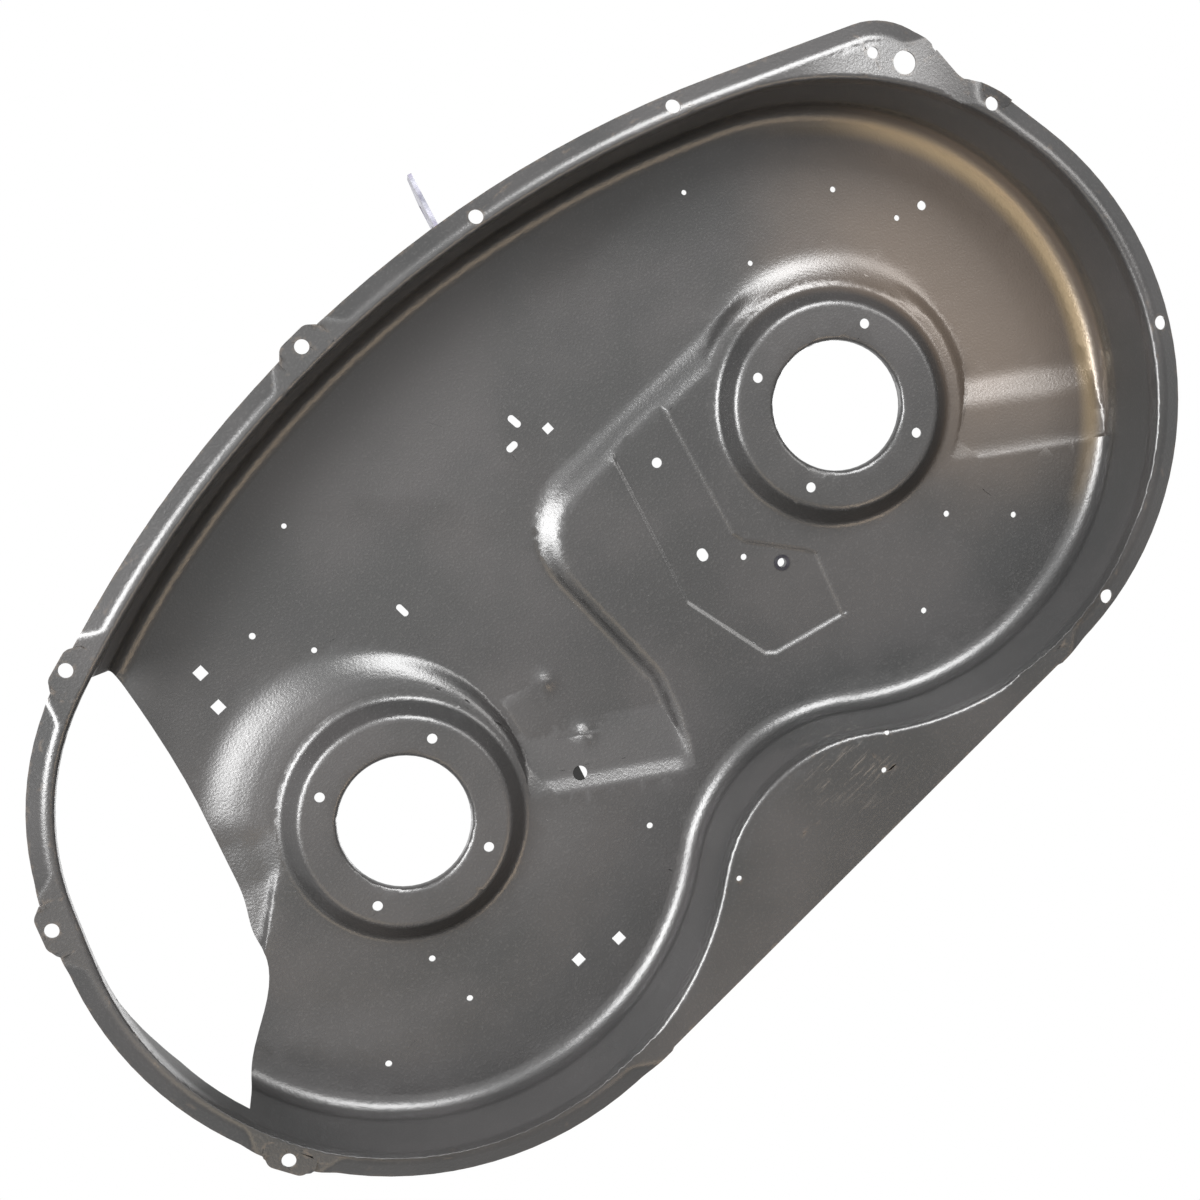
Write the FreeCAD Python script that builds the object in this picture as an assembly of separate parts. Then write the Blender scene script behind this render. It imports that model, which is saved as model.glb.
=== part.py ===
import FreeCAD, Part
import math
import os

from FreeCAD import Vector

# Lawn mower deck pressed from one sheet, in the place it has on the machine.
# +Z is up, the rim lies on z = 0, +X points to the discharge side, +Y to the front.
# All places are given from the point where the discharge side spindle axis meets
# the rim plane. At the end the part is moved so that the middle of its box on the
# rim plane is the origin.
middleX = -265.74
middleY = 55.11

# sheet
sheet = 2.6
draft = math.radians(4.0)

# levels of the underside
levelTunnel = 116.0
levelFloor = 104.0
levelPlate = 86.0
levelPad = 113.2

# spindles
spindleGap = 533.0
spindleHole = 58.5
boltCircle = 154.5
boltHole = 4.5
boltTurn = math.radians(61.6)
boltCount = 4

# circles of the chamber wall at the rim plane: discharge side, corner, front, far side, waist
wallDischarge = 272.0
cornerX = 24.5
cornerY = 61.9
cornerLessWall = 46.98877
frontX = -250.0
frontY = -650.0
farX = -521.6
farY = 4.5
wallWaist = 149.0

# circles of the rim
rimEnd = 290.0
rimDischarge = 298.5
rimPullX = -7.0
rimPullY = 7.0
cornerLessRim = 50.48877
cheekRound = 60.0
cheekProud = 4.6
cheekTurn = math.radians(156.5)

# ear of the rim
earSlope = math.radians(201.9)
earSide = -785.4
earRound = 62.0
earFoot = 24.0

# section of the rim
rimBend = 5.0
lipWidth = 10.5
lipWidthEar = 13.0
lipRise = 4.4

# tabs of the rim, where the turned-up lip stops
tabBase = 46.0
tabTip = 28.0
tabFlat = 38.0
tabRound = 9.0
tabDepth = 18.0

# folds
floorFold = 18.0
plateFold = 9.0
plateEdge = 88.5
ringFoot = 112.0
ringSlope = math.radians(50.0)
holeLip = 5.0
holeLipHeight = 7.0

# the raised tunnel: its outline at floor level and at tunnel level
creaseTurn = math.radians(214.5)
rampWide = 62.0
farCreaseX = -622.3
farCreaseY = -141.6
nearCreaseX = -162.9
nearCreaseY = -114.9
shelfFloor = 118.0
shelfTunnel = 133.0
shoulderFloor = 98.0
shoulderTunnel = 131.0
bendFloorX = -315.0
bendFloorY = 42.0
bendFloorRound = 56.0
bendTunnelX = -311.0
bendTunnelY = 57.0
bendTunnelRound = 74.0
tongueFloor = 267.0
tongueTunnel = 246.0
stepWide = 26.0

# the flare beside the discharge: floor line, crest line and tunnel fold
flareFloor = 113.0
flareTunnel = 146.0
flareShiftX = 22.0
flareShiftY = 3.0
flareFloorReach = 98.5
flareCrestReach = 110.5
flareFloorTurn = math.radians(54.4)
flareTunnelTurn = math.radians(38.0)
crestHeight = 0.4
crestShare = 0.24

# discharge opening: height of the wall that stays on the rim
bandFront = 8.0
bandRear = 40.0
bandStartY = 120.0
bandEndY = -5.0
bandCourse = [(0.0, 0.0), (0.4, 0.2), (0.8, 0.8), (1.0, 1.0)]

# raised pad of the far chamber
hexRise = 3.0
hexSide = 3.5

# sloping side of the pressed pad beside the discharge side spindle
padSide = 3.0

# clinch nut in the raised pad
nutX = -402.0
nutY = -71.5
nutBore = 4.1
nutNeck = 5.8
nutFlange = 7.2
nutProud = 1.2
nutBody = 7.5
nutHeight = 6.0
nutClearance = 0.15

# stop plate over the large hole of the ramp
stopX = -139.0
stopY = -82.0
stopHole = 6.5
stopThick = 3.0
stopLength = 26.0
stopWidth = 20.0
stopRound = 3.0
stopEdge = 1.8
stopTurn = math.radians(-17.0)
stopSeat = 0.25

# hanger bracket on the outer side of the front wall
bracketTurn = math.radians(96.74)
bracketSkew = math.radians(8.3)
bracketLevel = 45.0
bracketHeight = 45.0
bracketThick = 3.6
bracketReach = 68.0
bracketFoot = 30.0
bracketBend = 5.0
bracketChamfer = 21.0
bracketSlot = 6.0
bracketSlotLong = 13.6
bracketSlotTip = 29.0
bracketSlotDrop = 8.0
bracketSlotRoot = 51.0
bracketSeat = 0.1

# how far cutting bodies run past the sheet
past = 8.0
above = 160.0
below = 4.0
away = 500.0

# height at which the wall of the chamber gives way to the folds
splitLevel = 82.0


def pt(x, y, z):
    return Vector(x, y, z)


def arc(centre, r, a0, a1, z):
    spots = []
    for a in (a0, (a0 + a1) / 2, a1):
        spots.append(pt(centre[0] + r * math.cos(a), centre[1] + r * math.sin(a), z))
    return Part.Arc(*spots).toShape()


def line(p, q):
    return Part.LineSegment(p, q).toShape()


def turn(dx, dy):
    return math.atan2(dy, dx)


def mix(a, b, share):
    return a + (b - a) * share


def spot(centre, r, a):
    return (centre[0] + r * math.cos(a), centre[1] + r * math.sin(a))


def gap(a, b):
    return math.hypot(a[0] - b[0], a[1] - b[1])


def crossing(p, u, q, v):
    # where the line through p along u meets the line through q along v
    d = u[0] * v[1] - u[1] * v[0]
    s = ((q[0] - p[0]) * v[1] - (q[1] - p[1]) * v[0]) / d
    return (p[0] + s * u[0], p[1] + s * u[1])


def onCircle(centre, r, p, u, sign):
    # first (-1) or last (1) crossing of the line through p along u with a circle
    dx = p[0] - centre[0]
    dy = p[1] - centre[1]
    b = dx * u[0] + dy * u[1]
    c = dx * dx + dy * dy - r * r
    s = -b + sign * math.sqrt(max(b * b - c, 0.0))
    return (p[0] + s * u[0], p[1] + s * u[1])


def circlesMeet(a, ra, b, rb, side):
    # where two circles cross, or touch, on the given side of the line between them
    d = gap(a, b)
    along = (ra * ra - rb * rb + d * d) / (2 * d)
    across = side * math.sqrt(max(ra * ra - along * along, 0.0))
    ux = (b[0] - a[0]) / d
    uy = (b[1] - a[1]) / d
    return (a[0] + along * ux - across * uy, a[1] + along * uy + across * ux)


def touchTurn(big, rBig, small, rSmall, side):
    # direction from both centres to the points of the straight that touches both circles
    return turn(small[0] - big[0], small[1] - big[1]) + side * math.acos((rBig - rSmall) / gap(big, small))


origin = (0.0, 0.0)
farSpindle = (-spindleGap, 0.0)
corner = (cornerX, cornerY)
front = (frontX, frontY)
far = (farX, farY)
rimPull = (rimPullX, rimPullY)
spindles = [origin, farSpindle]

# the corner circles are smaller than the discharge ones by a fixed step,
# and they touch the large front circles from inside
wallCorner = wallDischarge - cornerLessWall
wallFront = wallCorner + gap(corner, front)
wallFar = wallFront - gap(far, front)
rimCorner = rimDischarge - cornerLessRim
rimFront = rimCorner + gap(corner, front)
cornerTurn = turn(cornerX - frontX, cornerY - frontY)
farTurn = turn(farX - frontX, farY - frontY)

# the waist arc touches both chamber circles from behind
waist = circlesMeet(origin, wallDischarge + wallWaist, far, wallFar + wallWaist, 1)


def wallOutline(off, z):
    # chamber wall in plan, moved outwards by off
    join = touchTurn(origin, wallDischarge, corner, wallCorner, -1)
    start = turn(*waist)
    back = turn(waist[0] - farX, waist[1] - farY)
    p = spot(origin, wallDischarge + off, join)
    q = spot(corner, wallCorner + off, join)
    edges = [
        arc(origin, wallDischarge + off, start, join, z),
        line(pt(*p, z), pt(*q, z)),
        arc(corner, wallCorner + off, join, cornerTurn, z),
        arc(front, wallFront + off, cornerTurn, farTurn, z),
        arc(far, wallFar + off, farTurn, back + 2 * math.pi, z),
        arc(waist, wallWaist - off, back + math.pi, start + math.pi, z),
    ]
    return Part.Wire(edges)


def rimOutline(off, z, earOff=None):
    # rim in plan, moved outwards by off, the ear by earOff
    ear = off if earOff is None else earOff
    join = touchTurn(rimPull, rimDischarge, corner, rimCorner, -1)
    rear = touchTurn(rimPull, rimDischarge, farSpindle, rimEnd, 1)
    cheek = spot(farSpindle, rimEnd + cheekProud - cheekRound, cheekTurn)
    slip = touchTurn(farSpindle, rimEnd, cheek, cheekRound, 1)
    # flank of the ear, touching the front circle
    u = (math.cos(earSlope), math.sin(earSlope))
    outwards = (u[1], -u[0])
    leaveTurn = earSlope - math.pi / 2
    onFlank = spot(front, rimFront + ear, leaveTurn)
    leave = onCircle(front, rimFront + off, onFlank, (-u[0], -u[1]), 1)
    # round corner between the flank and the straight side
    base = spot(front, rimFront - earRound, leaveTurn)
    centre = crossing(base, u, (earSide + earRound, 0.0), (0.0, 1.0))
    flankEnd = (centre[0] + outwards[0] * (earRound + ear), centre[1] + outwards[1] * (earRound + ear))
    side = earSide - ear
    # hollow foot between the side and the cheek
    footX = earSide - earFoot
    footY = cheek[1] + math.sqrt((cheekRound + earFoot) ** 2 - (footX - cheek[0]) ** 2)
    foot = (footX, footY)
    land = circlesMeet(foot, earFoot - ear, cheek, cheekRound + off, 1)
    p = spot(rimPull, rimDischarge + off, join)
    q = spot(corner, rimCorner + off, join)
    edges = [
        arc(rimPull, rimDischarge + off, rear, join, z),
        line(pt(*p, z), pt(*q, z)),
        arc(corner, rimCorner + off, join, cornerTurn, z),
        arc(front, rimFront + off, cornerTurn, turn(leave[0] - frontX, leave[1] - frontY), z),
        line(pt(*leave, z), pt(*flankEnd, z)),
        arc(centre, earRound + ear, leaveTurn, math.pi, z),
        line(pt(side, centre[1], z), pt(side, footY, z)),
        arc(foot, earFoot - ear, 0.0, turn(land[0] - footX, land[1] - footY), z),
        arc(cheek, cheekRound + off, turn(land[0] - cheek[0], land[1] - cheek[1]), slip, z),
        line(pt(*spot(cheek, cheekRound + off, slip), z), pt(*spot(farSpindle, rimEnd + off, slip), z)),
        arc(farSpindle, rimEnd + off, slip, rear + 2 * math.pi, z),
        line(pt(*spot(farSpindle, rimEnd + off, rear), z), pt(*spot(rimPull, rimDischarge + off, rear), z)),
    ]
    return Part.Wire(edges)


def skin(wires):
    return Part.makeLoft(wires, True, True)


def mouthProfile(thick):
    # offsets and heights of one surface of the sheet round the bend at the rim
    strips = 4
    r = rimBend - thick
    mid = rimBend * (1 - math.sin(draft)) / math.cos(draft)
    first = 1.5 * math.pi
    last = math.pi + draft
    steps = [mix(first, last, i / strips) for i in range(strips + 1)]
    return [(mid + r * math.cos(a), rimBend + r * math.sin(a)) for a in steps]


def wallAt(thick, z):
    return (thick - z * math.sin(draft)) / math.cos(draft)


def foldProfile(thick, top):
    # offsets and heights of one surface of the sheet round the fold into a floor
    strips = 5
    r = floorFold + thick
    low = top - floorFold
    mid = (-floorFold - low * math.sin(draft)) / math.cos(draft)
    steps = [mix(draft, math.pi / 2, i / strips) for i in range(strips + 1)]
    return [(mid + r * math.cos(a), low + r * math.sin(a)) for a in steps]


# height shares at which the step up to the tunnel is drawn
stepShare = [0.0, 0.05, 0.2, 0.4, 0.6, 0.8, 0.95, 1.0]


def softShare(h):
    # share of the width that a step with round folds has covered at height share h
    return math.acos(1 - 2 * h) / math.pi


def flareShare(h):
    # steep below the crest, gentle with a round upper bend above it
    if h < crestHeight:
        return crestShare * h / crestHeight
    return mix(crestShare, 1.0, softShare((h - crestHeight) / (1 - crestHeight)))


def evenShare(h):
    return h


def padOutline(h, push, z):
    # outline of the tunnel at height share h, moved to the floor side by push
    # push holds the move of the walls, of the ramps and of the flare
    s = softShare(h)
    k = flareShare(h)
    u = (math.cos(creaseTurn), math.sin(creaseTurn))
    n = (u[1], -u[0])
    ramp = rampWide * h - push[1]
    farLine = (farCreaseX + n[0] * ramp, farCreaseY + n[1] * ramp)
    nearLine = (nearCreaseX + n[0] * ramp, nearCreaseY + n[1] * ramp)
    disc = mix(shelfFloor, shelfTunnel, s) - push[0]
    shoulder = min(mix(shoulderFloor, shoulderTunnel, s) - push[0], disc)
    bend = (mix(bendFloorX, bendTunnelX, s), mix(bendFloorY, bendTunnelY, s))
    bendRound = mix(bendFloorRound, bendTunnelRound, s) - push[0]
    tongue = mix(tongueFloor, tongueTunnel, s) + push[0]
    flare = mix(flareFloor, flareTunnel, k) - push[2]
    flareMid = (flareShiftX * k, flareShiftY * k)
    lineTurn = mix(flareFloorTurn, flareTunnelTurn, k)
    shift = flareMid[0] * math.cos(lineTurn) + flareMid[1] * math.sin(lineTurn)
    if h < crestHeight:
        reach = mix(flareFloorReach, flareCrestReach, h / crestHeight) - push[2]
    else:
        reach = mix(flareCrestReach, flareTunnel + shift, (k - crestShare) / (1 - crestShare)) - push[2]
    reach = min(reach, flare + shift)
    # corner points of the outline
    p0 = (farLine[0] + u[0] * away, farLine[1] + u[1] * away)
    p1 = onCircle(farSpindle, disc, farLine, (-u[0], -u[1]), -1)
    p2 = (-spindleGap + math.sqrt(disc * disc - shoulder * shoulder), shoulder)
    p3 = (bend[0], bend[1] + bendRound)
    p4 = (bend[0] + bendRound, bend[1])
    p5 = (p4[0], -math.sqrt(tongue * tongue - p4[0] * p4[0]))
    p6 = onCircle(origin, tongue, nearLine, u, 1)
    p7 = onCircle(flareMid, flare, nearLine, (-u[0], -u[1]), -1)
    foot = (reach * math.cos(lineTurn), reach * math.sin(lineTurn))
    ahead = (math.sin(lineTurn), -math.cos(lineTurn))
    p8 = onCircle(flareMid, flare, foot, ahead, 1)
    p9 = (p8[0] + ahead[0] * away, p8[1] + ahead[1] * away)

    def at(p):
        return pt(p[0], p[1], z)

    def bow(centre, r, p, q, way):
        # arc about centre from p to q, clockwise for way -1
        a0 = turn(p[0] - centre[0], p[1] - centre[1])
        a1 = turn(q[0] - centre[0], q[1] - centre[1])
        if (a1 - a0) * way < 0:
            a1 += way * 2 * math.pi
        return arc(centre, r, a0, a1, z)

    edges = [
        line(at(p0), at(p1)),
        bow(farSpindle, disc, p1, p2, -1),
        line(at(p2), at(p3)),
        bow(bend, bendRound, p3, p4, -1),
        line(at(p4), at(p5)),
        bow(origin, tongue, p5, p6, 1),
        line(at(p6), at(p7)),
        bow(flareMid, flare, p7, p8, -1),
        line(at(p8), at(p9)),
        line(at(p9), pt(p9[0], away, z)),
        line(pt(p9[0], away, z), pt(p0[0], away, z)),
        line(pt(p0[0], away, z), at(p0)),
    ]
    return Part.Wire(edges)


def slopeOf(i, width, share):
    # mean slope of the step at level i
    a = stepShare[max(i - 1, 0)]
    b = stepShare[min(i + 1, len(stepShare) - 1)]
    return math.atan2((b - a) * (levelTunnel - levelFloor), (share(b) - share(a)) * width)


def padColumn(thick):
    # upright body over the tunnel, with the step as its foot
    wires = []
    for i, h in enumerate(stepShare):
        wall = thick * math.tan(slopeOf(i, stepWide, softShare) / 2)
        ramp = thick * math.tan(slopeOf(i, rampWide, evenShare) / 2)
        wide = thick * math.tan(slopeOf(i, flareTunnel - flareFloorReach, flareShare) / 2)
        push = (wall, ramp, wide)
        z = mix(levelFloor, levelTunnel, h) + thick
        if i == 0:
            wires.append(padOutline(h, push, splitLevel - past))
        wires.append(padOutline(h, push, z))
    wires.append(padOutline(1.0, push, levelTunnel + sheet + past))
    return skin(wires)


def body(thick):
    # everything under one surface of the sheet, thick 0 for the underside
    mouth = mouthProfile(thick)
    low = [(mouth[0][0], 0.0 if thick else -below)] + mouth
    split = (wallAt(thick, splitLevel), splitLevel)
    base = skin([wallOutline(off, z) for off, z in low + [split]])
    tall = skin([wallOutline(off, z) for off, z in [split] + foldProfile(thick, levelTunnel)])
    flat = skin([wallOutline(off, z) for off, z in [split] + foldProfile(thick, levelFloor)])
    return base.fuse([flat, tall.common(padColumn(thick))])


def revolved(edges, centre):
    face = Part.Face(Part.Wire(edges))
    return face.revolve(pt(centre[0], centre[1], 0), Vector(0, 0, 1), 360)


def ringCut(centre, thick):
    # space above the spindle plate and its sloping ring
    cx, cy = centre
    top = levelFloor + thick
    low = levelPlate + thick
    inner = plateFold - thick
    outer = plateFold + thick
    foot = (plateEdge, low + inner)
    head = (ringFoot, top - outer)

    def at(r, z):
        return pt(cx + r, cy, z)

    def round_(mid, r, a):
        return at(mid[0] + r * math.sin(a), mid[1] - r * math.cos(a))

    edges = [
        line(at(0, low), at(plateEdge, low)),
        Part.Arc(at(plateEdge, low), round_(foot, inner, ringSlope / 2), round_(foot, inner, ringSlope)).toShape(),
        line(round_(foot, inner, ringSlope), round_(head, -outer, ringSlope)),
        Part.Arc(round_(head, -outer, ringSlope), round_(head, -outer, ringSlope / 2), at(ringFoot, top)).toShape(),
        line(at(ringFoot, top), at(ringFoot, above)),
        line(at(ringFoot, above), at(0, above)),
        line(at(0, above), at(0, low)),
    ]
    return revolved(edges, centre)


# corners of the raised pad, counterclockwise seen from above
padCorners = [
    (-432.0, 150.0),
    (-388.5, -21.0),
    (-391.5, -32.0),
    (-427.0, -77.0),
    (-432.0, -86.0),
    (-411.5, -147.0),
    (-341.5, -129.0),
    (-333.0, -121.5),
    (-313.0, -38.0),
    (-366.0, 150.0),
]

# corners of the pressed pad beside the discharge side spindle, same sense
sideCorners = [
    (-171.0, 0.0),
    (-164.0, -58.0),
    (-124.0, -40.0),
    (-134.0, 13.0),
]


def insetPolygon(points, d):
    # positive d moves the sides inwards
    sides = []
    for p, q in zip(points, points[1:] + points[:1]):
        length = gap(p, q)
        u = ((q[0] - p[0]) / length, (q[1] - p[1]) / length)
        sides.append(((p[0] - u[1] * d, p[1] + u[0] * d), u))
    return [crossing(*sides[i - 1], *sides[i]) for i in range(len(sides))]


def polygon(points, z):
    spots = [pt(p[0], p[1], z) for p in points]
    return Part.makePolygon(spots + [spots[0]])


def hexPad(thick):
    # body that lifts the sheet over the raised pad
    out = -thick * math.tan(math.atan2(hexRise, hexSide) / 2)
    wires = [
        polygon(insetPolygon(padCorners, out), levelFloor - hexRise),
        polygon(insetPolygon(padCorners, out), levelFloor + thick),
        polygon(insetPolygon(padCorners, out + hexSide), levelFloor + thick + hexRise),
    ]
    return skin(wires)


def sidePadCut(thick):
    # space above the pad that is pressed down beside the spindle
    drop = levelTunnel - levelPad
    out = thick * math.tan(math.atan2(drop, padSide) / 2)
    low = levelPad + thick
    wires = [
        polygon(insetPolygon(sideCorners, out), low),
        polygon(insetPolygon(sideCorners, out - padSide), low + drop),
        polygon(insetPolygon(sideCorners, out - padSide), low + drop + past),
    ]
    return skin(wires)


def cylinder(x, y, r, z0, z1):
    return Part.makeCylinder(r, z1 - z0, pt(x, y, z0))


def upright(solid):
    # the edges of a solid that run along Z
    return [e for e in solid.Edges if abs(e.Vertexes[0].Z - e.Vertexes[-1].Z) > sheet / 2]


def block(x, y, length, width, angle, z0, z1, corner=0.0):
    # upright box centred on x, y and turned by angle
    box = Part.makeBox(length, width, z1 - z0, pt(-length / 2, -width / 2, z0))
    if corner:
        box = box.makeFillet(corner, upright(box))
    box.rotate(pt(0, 0, 0), Vector(0, 0, 1), math.degrees(angle))
    box.translate(pt(x, y, 0))
    return box


# tabs of the rim: hole, centre of the rim circle there, reach past the hole
tabs = [
    ((-220.5, 356.0), front, 11.5),
    ((97.5, 296.0), corner, 8.6),
    ((254.0, 151.5), corner, 9.8),
    ((257.0, -124.0), rimPull, 10.0),
]

# holes of the rim and of the ear: place and radius
rimHole = 6.1
rimHoles = [
    (-583.0, 293.0, rimHole),
    (-398.0, 337.0, rimHole),
    (-581.0, -276.0, rimHole),
    (-779.5, -132.5, rimHole),
    (-792.0, 110.0, rimHole),
    (-741.5, 211.5, 5.0),
    (-757.0, 187.0, 10.0),
]

# flat stretch of the rim between the ear and the cheek
earFlatX = -795.0
earFlatY = 138.0
earFlatLong = 76.0
earFlatWide = 64.0

# round holes of the floors: place and radius
floorHoles = [
    (-564.5, 230.5, 2.3),
    (-566.5, 144.0, 2.4),
    (-668.0, 141.0, 2.6),
    (-695.0, 82.0, 2.6),
    (-720.0, 74.5, 4.2),
    (-104.0, 258.0, 2.3),
    (-17.5, 207.5, 2.9),
    (-47.0, 161.5, 2.6),
    (-380.5, 73.0, 4.6),
    (-380.0, -43.5, 2.8),
    (-544.0, -145.5, 2.8),
    (-590.0, -190.5, 2.7),
    (-468.0, -196.0, 2.7),
    (-151.0, -160.5, 2.8),
    (69.5, -108.5, 2.9),
    (71.0, -158.5, 2.8),
    (162.0, -149.5, 3.0),
    (stopX, stopY, stopHole),
]

# round holes of the rear web
webHoles = [
    (-356.0, -223.5, 2.4),
    (-331.5, -245.5, 2.4),
    (-176.0, -223.5, 2.4),
]

# square holes: place and side
squareHoles = [
    (-331.0, 161.5, 7.8),
    (36.5, 215.0, 10.0),
    (46.5, 183.0, 10.0),
    (-60.5, -215.5, 9.4),
    (-21.5, -203.5, 9.4),
]

# slots: place, length, width, direction in degrees
slots = [
    (-313.5, 186.5, 13.5, 6.4, -96.0),
    (-296.5, 171.5, 11.5, 6.4, 180.0),
    (-126.5, 133.5, 13.0, 5.6, -92.0),
    (-354.0, -16.0, 12.2, 9.6, -80.0),
]

# cut edge over the top of the deck, from the front to the rear corner
cutTrace = [
    (88.0, 268.0),
    (96.0, 222.0),
    (116.0, 140.0),
    (138.0, 74.0),
    (150.0, 43.0),
    (164.0, 17.0),
    (169.0, -2.0),
    (178.0, -16.0),
    (201.0, -35.0),
    (256.0, -76.0),
]


def dischargeCut():
    # space of the discharge opening: its plan, over what stays on the rim
    curve = Part.BSplineCurve()
    curve.interpolate([pt(x, y, 0) for x, y in cutTrace])
    first = pt(*cutTrace[0], 0)
    last = pt(*cutTrace[-1], 0)
    u = Vector(last.x - cutTrace[-2][0], last.y - cutTrace[-2][1], 0).normalize()
    out = last + u * wallDischarge
    edges = [
        line(pt(first.x, away, 0), first),
        curve.toShape(),
        line(last, out),
        line(out, pt(out.x, away, 0)),
        line(pt(out.x, away, 0), pt(first.x, away, 0)),
    ]
    plan = Part.Face(Part.Wire(edges)).extrude(Vector(0, 0, above))
    steps = [(mix(bandStartY, bandEndY, run), mix(bandFront, bandRear, rise)) for run, rise in bandCourse]
    profile = [(away, bandFront)] + steps
    profile += [(-wallDischarge, bandRear), (-wallDischarge, above), (away, above)]
    spots = [pt(0, y, z) for y, z in profile]
    over = Part.Face(Part.makePolygon(spots + [spots[0]])).extrude(Vector(away, 0, 0))
    return plan.common(over)


def spindleLip(centre):
    # turned-up edge of the spindle hole
    cx, cy = centre
    foot = spindleHole + holeLip
    low = levelPlate
    mid = low + holeLip
    top = low + holeLipHeight + sheet
    inner = holeLip - sheet
    k = math.sqrt(0.5)

    def at(r, z):
        return pt(cx + r, cy, z)

    edges = [
        line(at(foot, low), at(foot, low + sheet)),
        Part.Arc(at(foot, low + sheet), at(foot - inner * k, mid - inner * k), at(foot - inner, mid)).toShape(),
        line(at(foot - inner, mid), at(foot - inner, top)),
        line(at(foot - inner, top), at(spindleHole, top)),
        line(at(spindleHole, top), at(spindleHole, mid)),
        Part.Arc(at(spindleHole, mid), at(foot - holeLip * k, mid - holeLip * k), at(foot, low)).toShape(),
    ]
    return revolved(edges, centre)


def tabPlate(hole, centre, reach):
    # flat tab: a trapezoid with round outer corners
    a = turn(hole[0] - centre[0], hole[1] - centre[1])
    half = tabBase / 2
    tip = tabTip / 2
    rear = [(reach - tabRound, half), (-tabDepth, half), (-tabDepth, -half), (reach - tabRound, -half)]
    shape = rear + [(reach, -tip), (reach, tip)]
    plate = Part.Face(polygon(shape, 0)).extrude(Vector(0, 0, sheet))
    outer = [e for e in upright(plate) if e.Vertexes[0].X > reach - tabRound / 2]
    plate = plate.makeFillet(tabRound, outer)
    plate.rotate(pt(0, 0, 0), Vector(0, 0, 1), math.degrees(a))
    plate.translate(pt(*hole, 0))
    return plate


def rimPlate():
    # flat rim with its lip turned up, flat again at the tabs and below the ear
    under = skin([
        rimOutline(-lipWidth, 0.0, -lipWidthEar),
        rimOutline(0.0, lipRise),
        rimOutline(0.0, lipRise + sheet),
    ])
    over = skin([
        rimOutline(-lipWidth, sheet, -lipWidthEar),
        rimOutline(0.0, lipRise + sheet),
    ])
    flat = Part.Face(rimOutline(0.0, 0.0)).extrude(Vector(0, 0, sheet))
    zones = [block(earFlatX, earFlatY, earFlatWide, earFlatLong, 0.0, -past, past)]
    plates = []
    for hole, centre, reach in tabs:
        a = turn(hole[0] - centre[0], hole[1] - centre[1])
        zones.append(block(*hole, 2 * tabDepth, tabFlat, a, -past, past))
        plates.append(tabPlate(hole, centre, reach))
    zone = zones[0].fuse(zones[1:])
    return under.cut(over).cut(zone).fuse([flat.common(zone)] + plates)


def deckShell():
    inner = body(0.0)
    outer = body(sheet)
    for centre in spindles:
        inner = inner.cut(ringCut(centre, 0.0))
        outer = outer.cut(ringCut(centre, sheet))
    inner = inner.cut(sidePadCut(0.0)).fuse(hexPad(0.0))
    outer = outer.cut(sidePadCut(sheet)).fuse(hexPad(sheet))
    shell = outer.fuse(rimPlate()).cut(inner)
    tools = [dischargeCut()]
    for centre in spindles:
        tools.append(cylinder(*centre, spindleHole + holeLip, levelPlate - past, above))
        for i in range(boltCount):
            x, y = spot(centre, boltCircle / 2, boltTurn + i * 2 * math.pi / boltCount)
            tools.append(cylinder(x, y, boltHole, levelPlate - past, levelPlate + past))
    for (x, y), centre, reach in tabs:
        tools.append(cylinder(x, y, rimHole, -past, past))
    for x, y, r in rimHoles + webHoles:
        tools.append(cylinder(x, y, r, -past, past))
    for x, y, r in floorHoles:
        tools.append(cylinder(x, y, r, splitLevel, above))
    for x, y, side in squareHoles:
        tools.append(block(x, y, side, side, 0.0, splitLevel, above))
    for x, y, length, width, degrees in slots:
        straight = length - width
        a = math.radians(degrees)
        tools.append(block(x, y, straight, width, a, splitLevel, above))
        for end in (-straight / 2, straight / 2):
            tools.append(cylinder(*spot((x, y), end, a), width / 2, splitLevel, above))
    tools.append(cylinder(nutX, nutY, nutNeck + nutClearance, splitLevel, above))
    return shell.cut(tools).fuse([spindleLip(centre) for centre in spindles])


def clinchNut():
    # flange under the raised pad, neck through the sheet, body above it
    under = levelFloor + hexRise
    top = under + sheet
    flange = cylinder(nutX, nutY, nutFlange, under - nutProud, under)
    neck = cylinder(nutX, nutY, nutNeck, under, top)
    head = cylinder(nutX, nutY, nutBody, top, top + nutHeight)
    bore = cylinder(nutX, nutY, nutBore, under - past, top + nutHeight + past)
    return flange.fuse([neck, head]).cut(bore)


def stopPlate():
    # small plate on the upper side of the ramp, its edge across the large hole
    slope = math.atan2(levelTunnel - levelFloor, rampWide)
    u = Vector(math.cos(creaseTurn), math.sin(creaseTurn), 0)
    up = Vector(u.y * math.cos(slope), -u.x * math.cos(slope), math.sin(slope))
    normal = Vector(-u.y * math.sin(slope), u.x * math.sin(slope), math.cos(slope))
    rise = (stopX - nearCreaseX) * u.y - (stopY - nearCreaseY) * u.x
    top = levelFloor + rise * math.tan(slope) + (sheet + stopSeat) / math.cos(slope)
    middle = pt(stopX, stopY, top)
    across = -u * math.cos(stopTurn) + up * math.sin(stopTurn)
    along = normal.cross(across)
    spots = []
    for a, b in ((-stopEdge, -1), (stopLength, -1), (stopLength, 1), (-stopEdge, 1)):
        spots.append(middle + across * a + along * (b * stopWidth / 2))
    plate = Part.Face(Part.makePolygon(spots + [spots[0]])).extrude(normal * stopThick)
    rims = [e for e in plate.Edges if abs((e.Vertexes[0].Point - e.Vertexes[1].Point).dot(normal)) > stopThick / 2]
    return plate.makeFillet(stopRound, rims)


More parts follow.
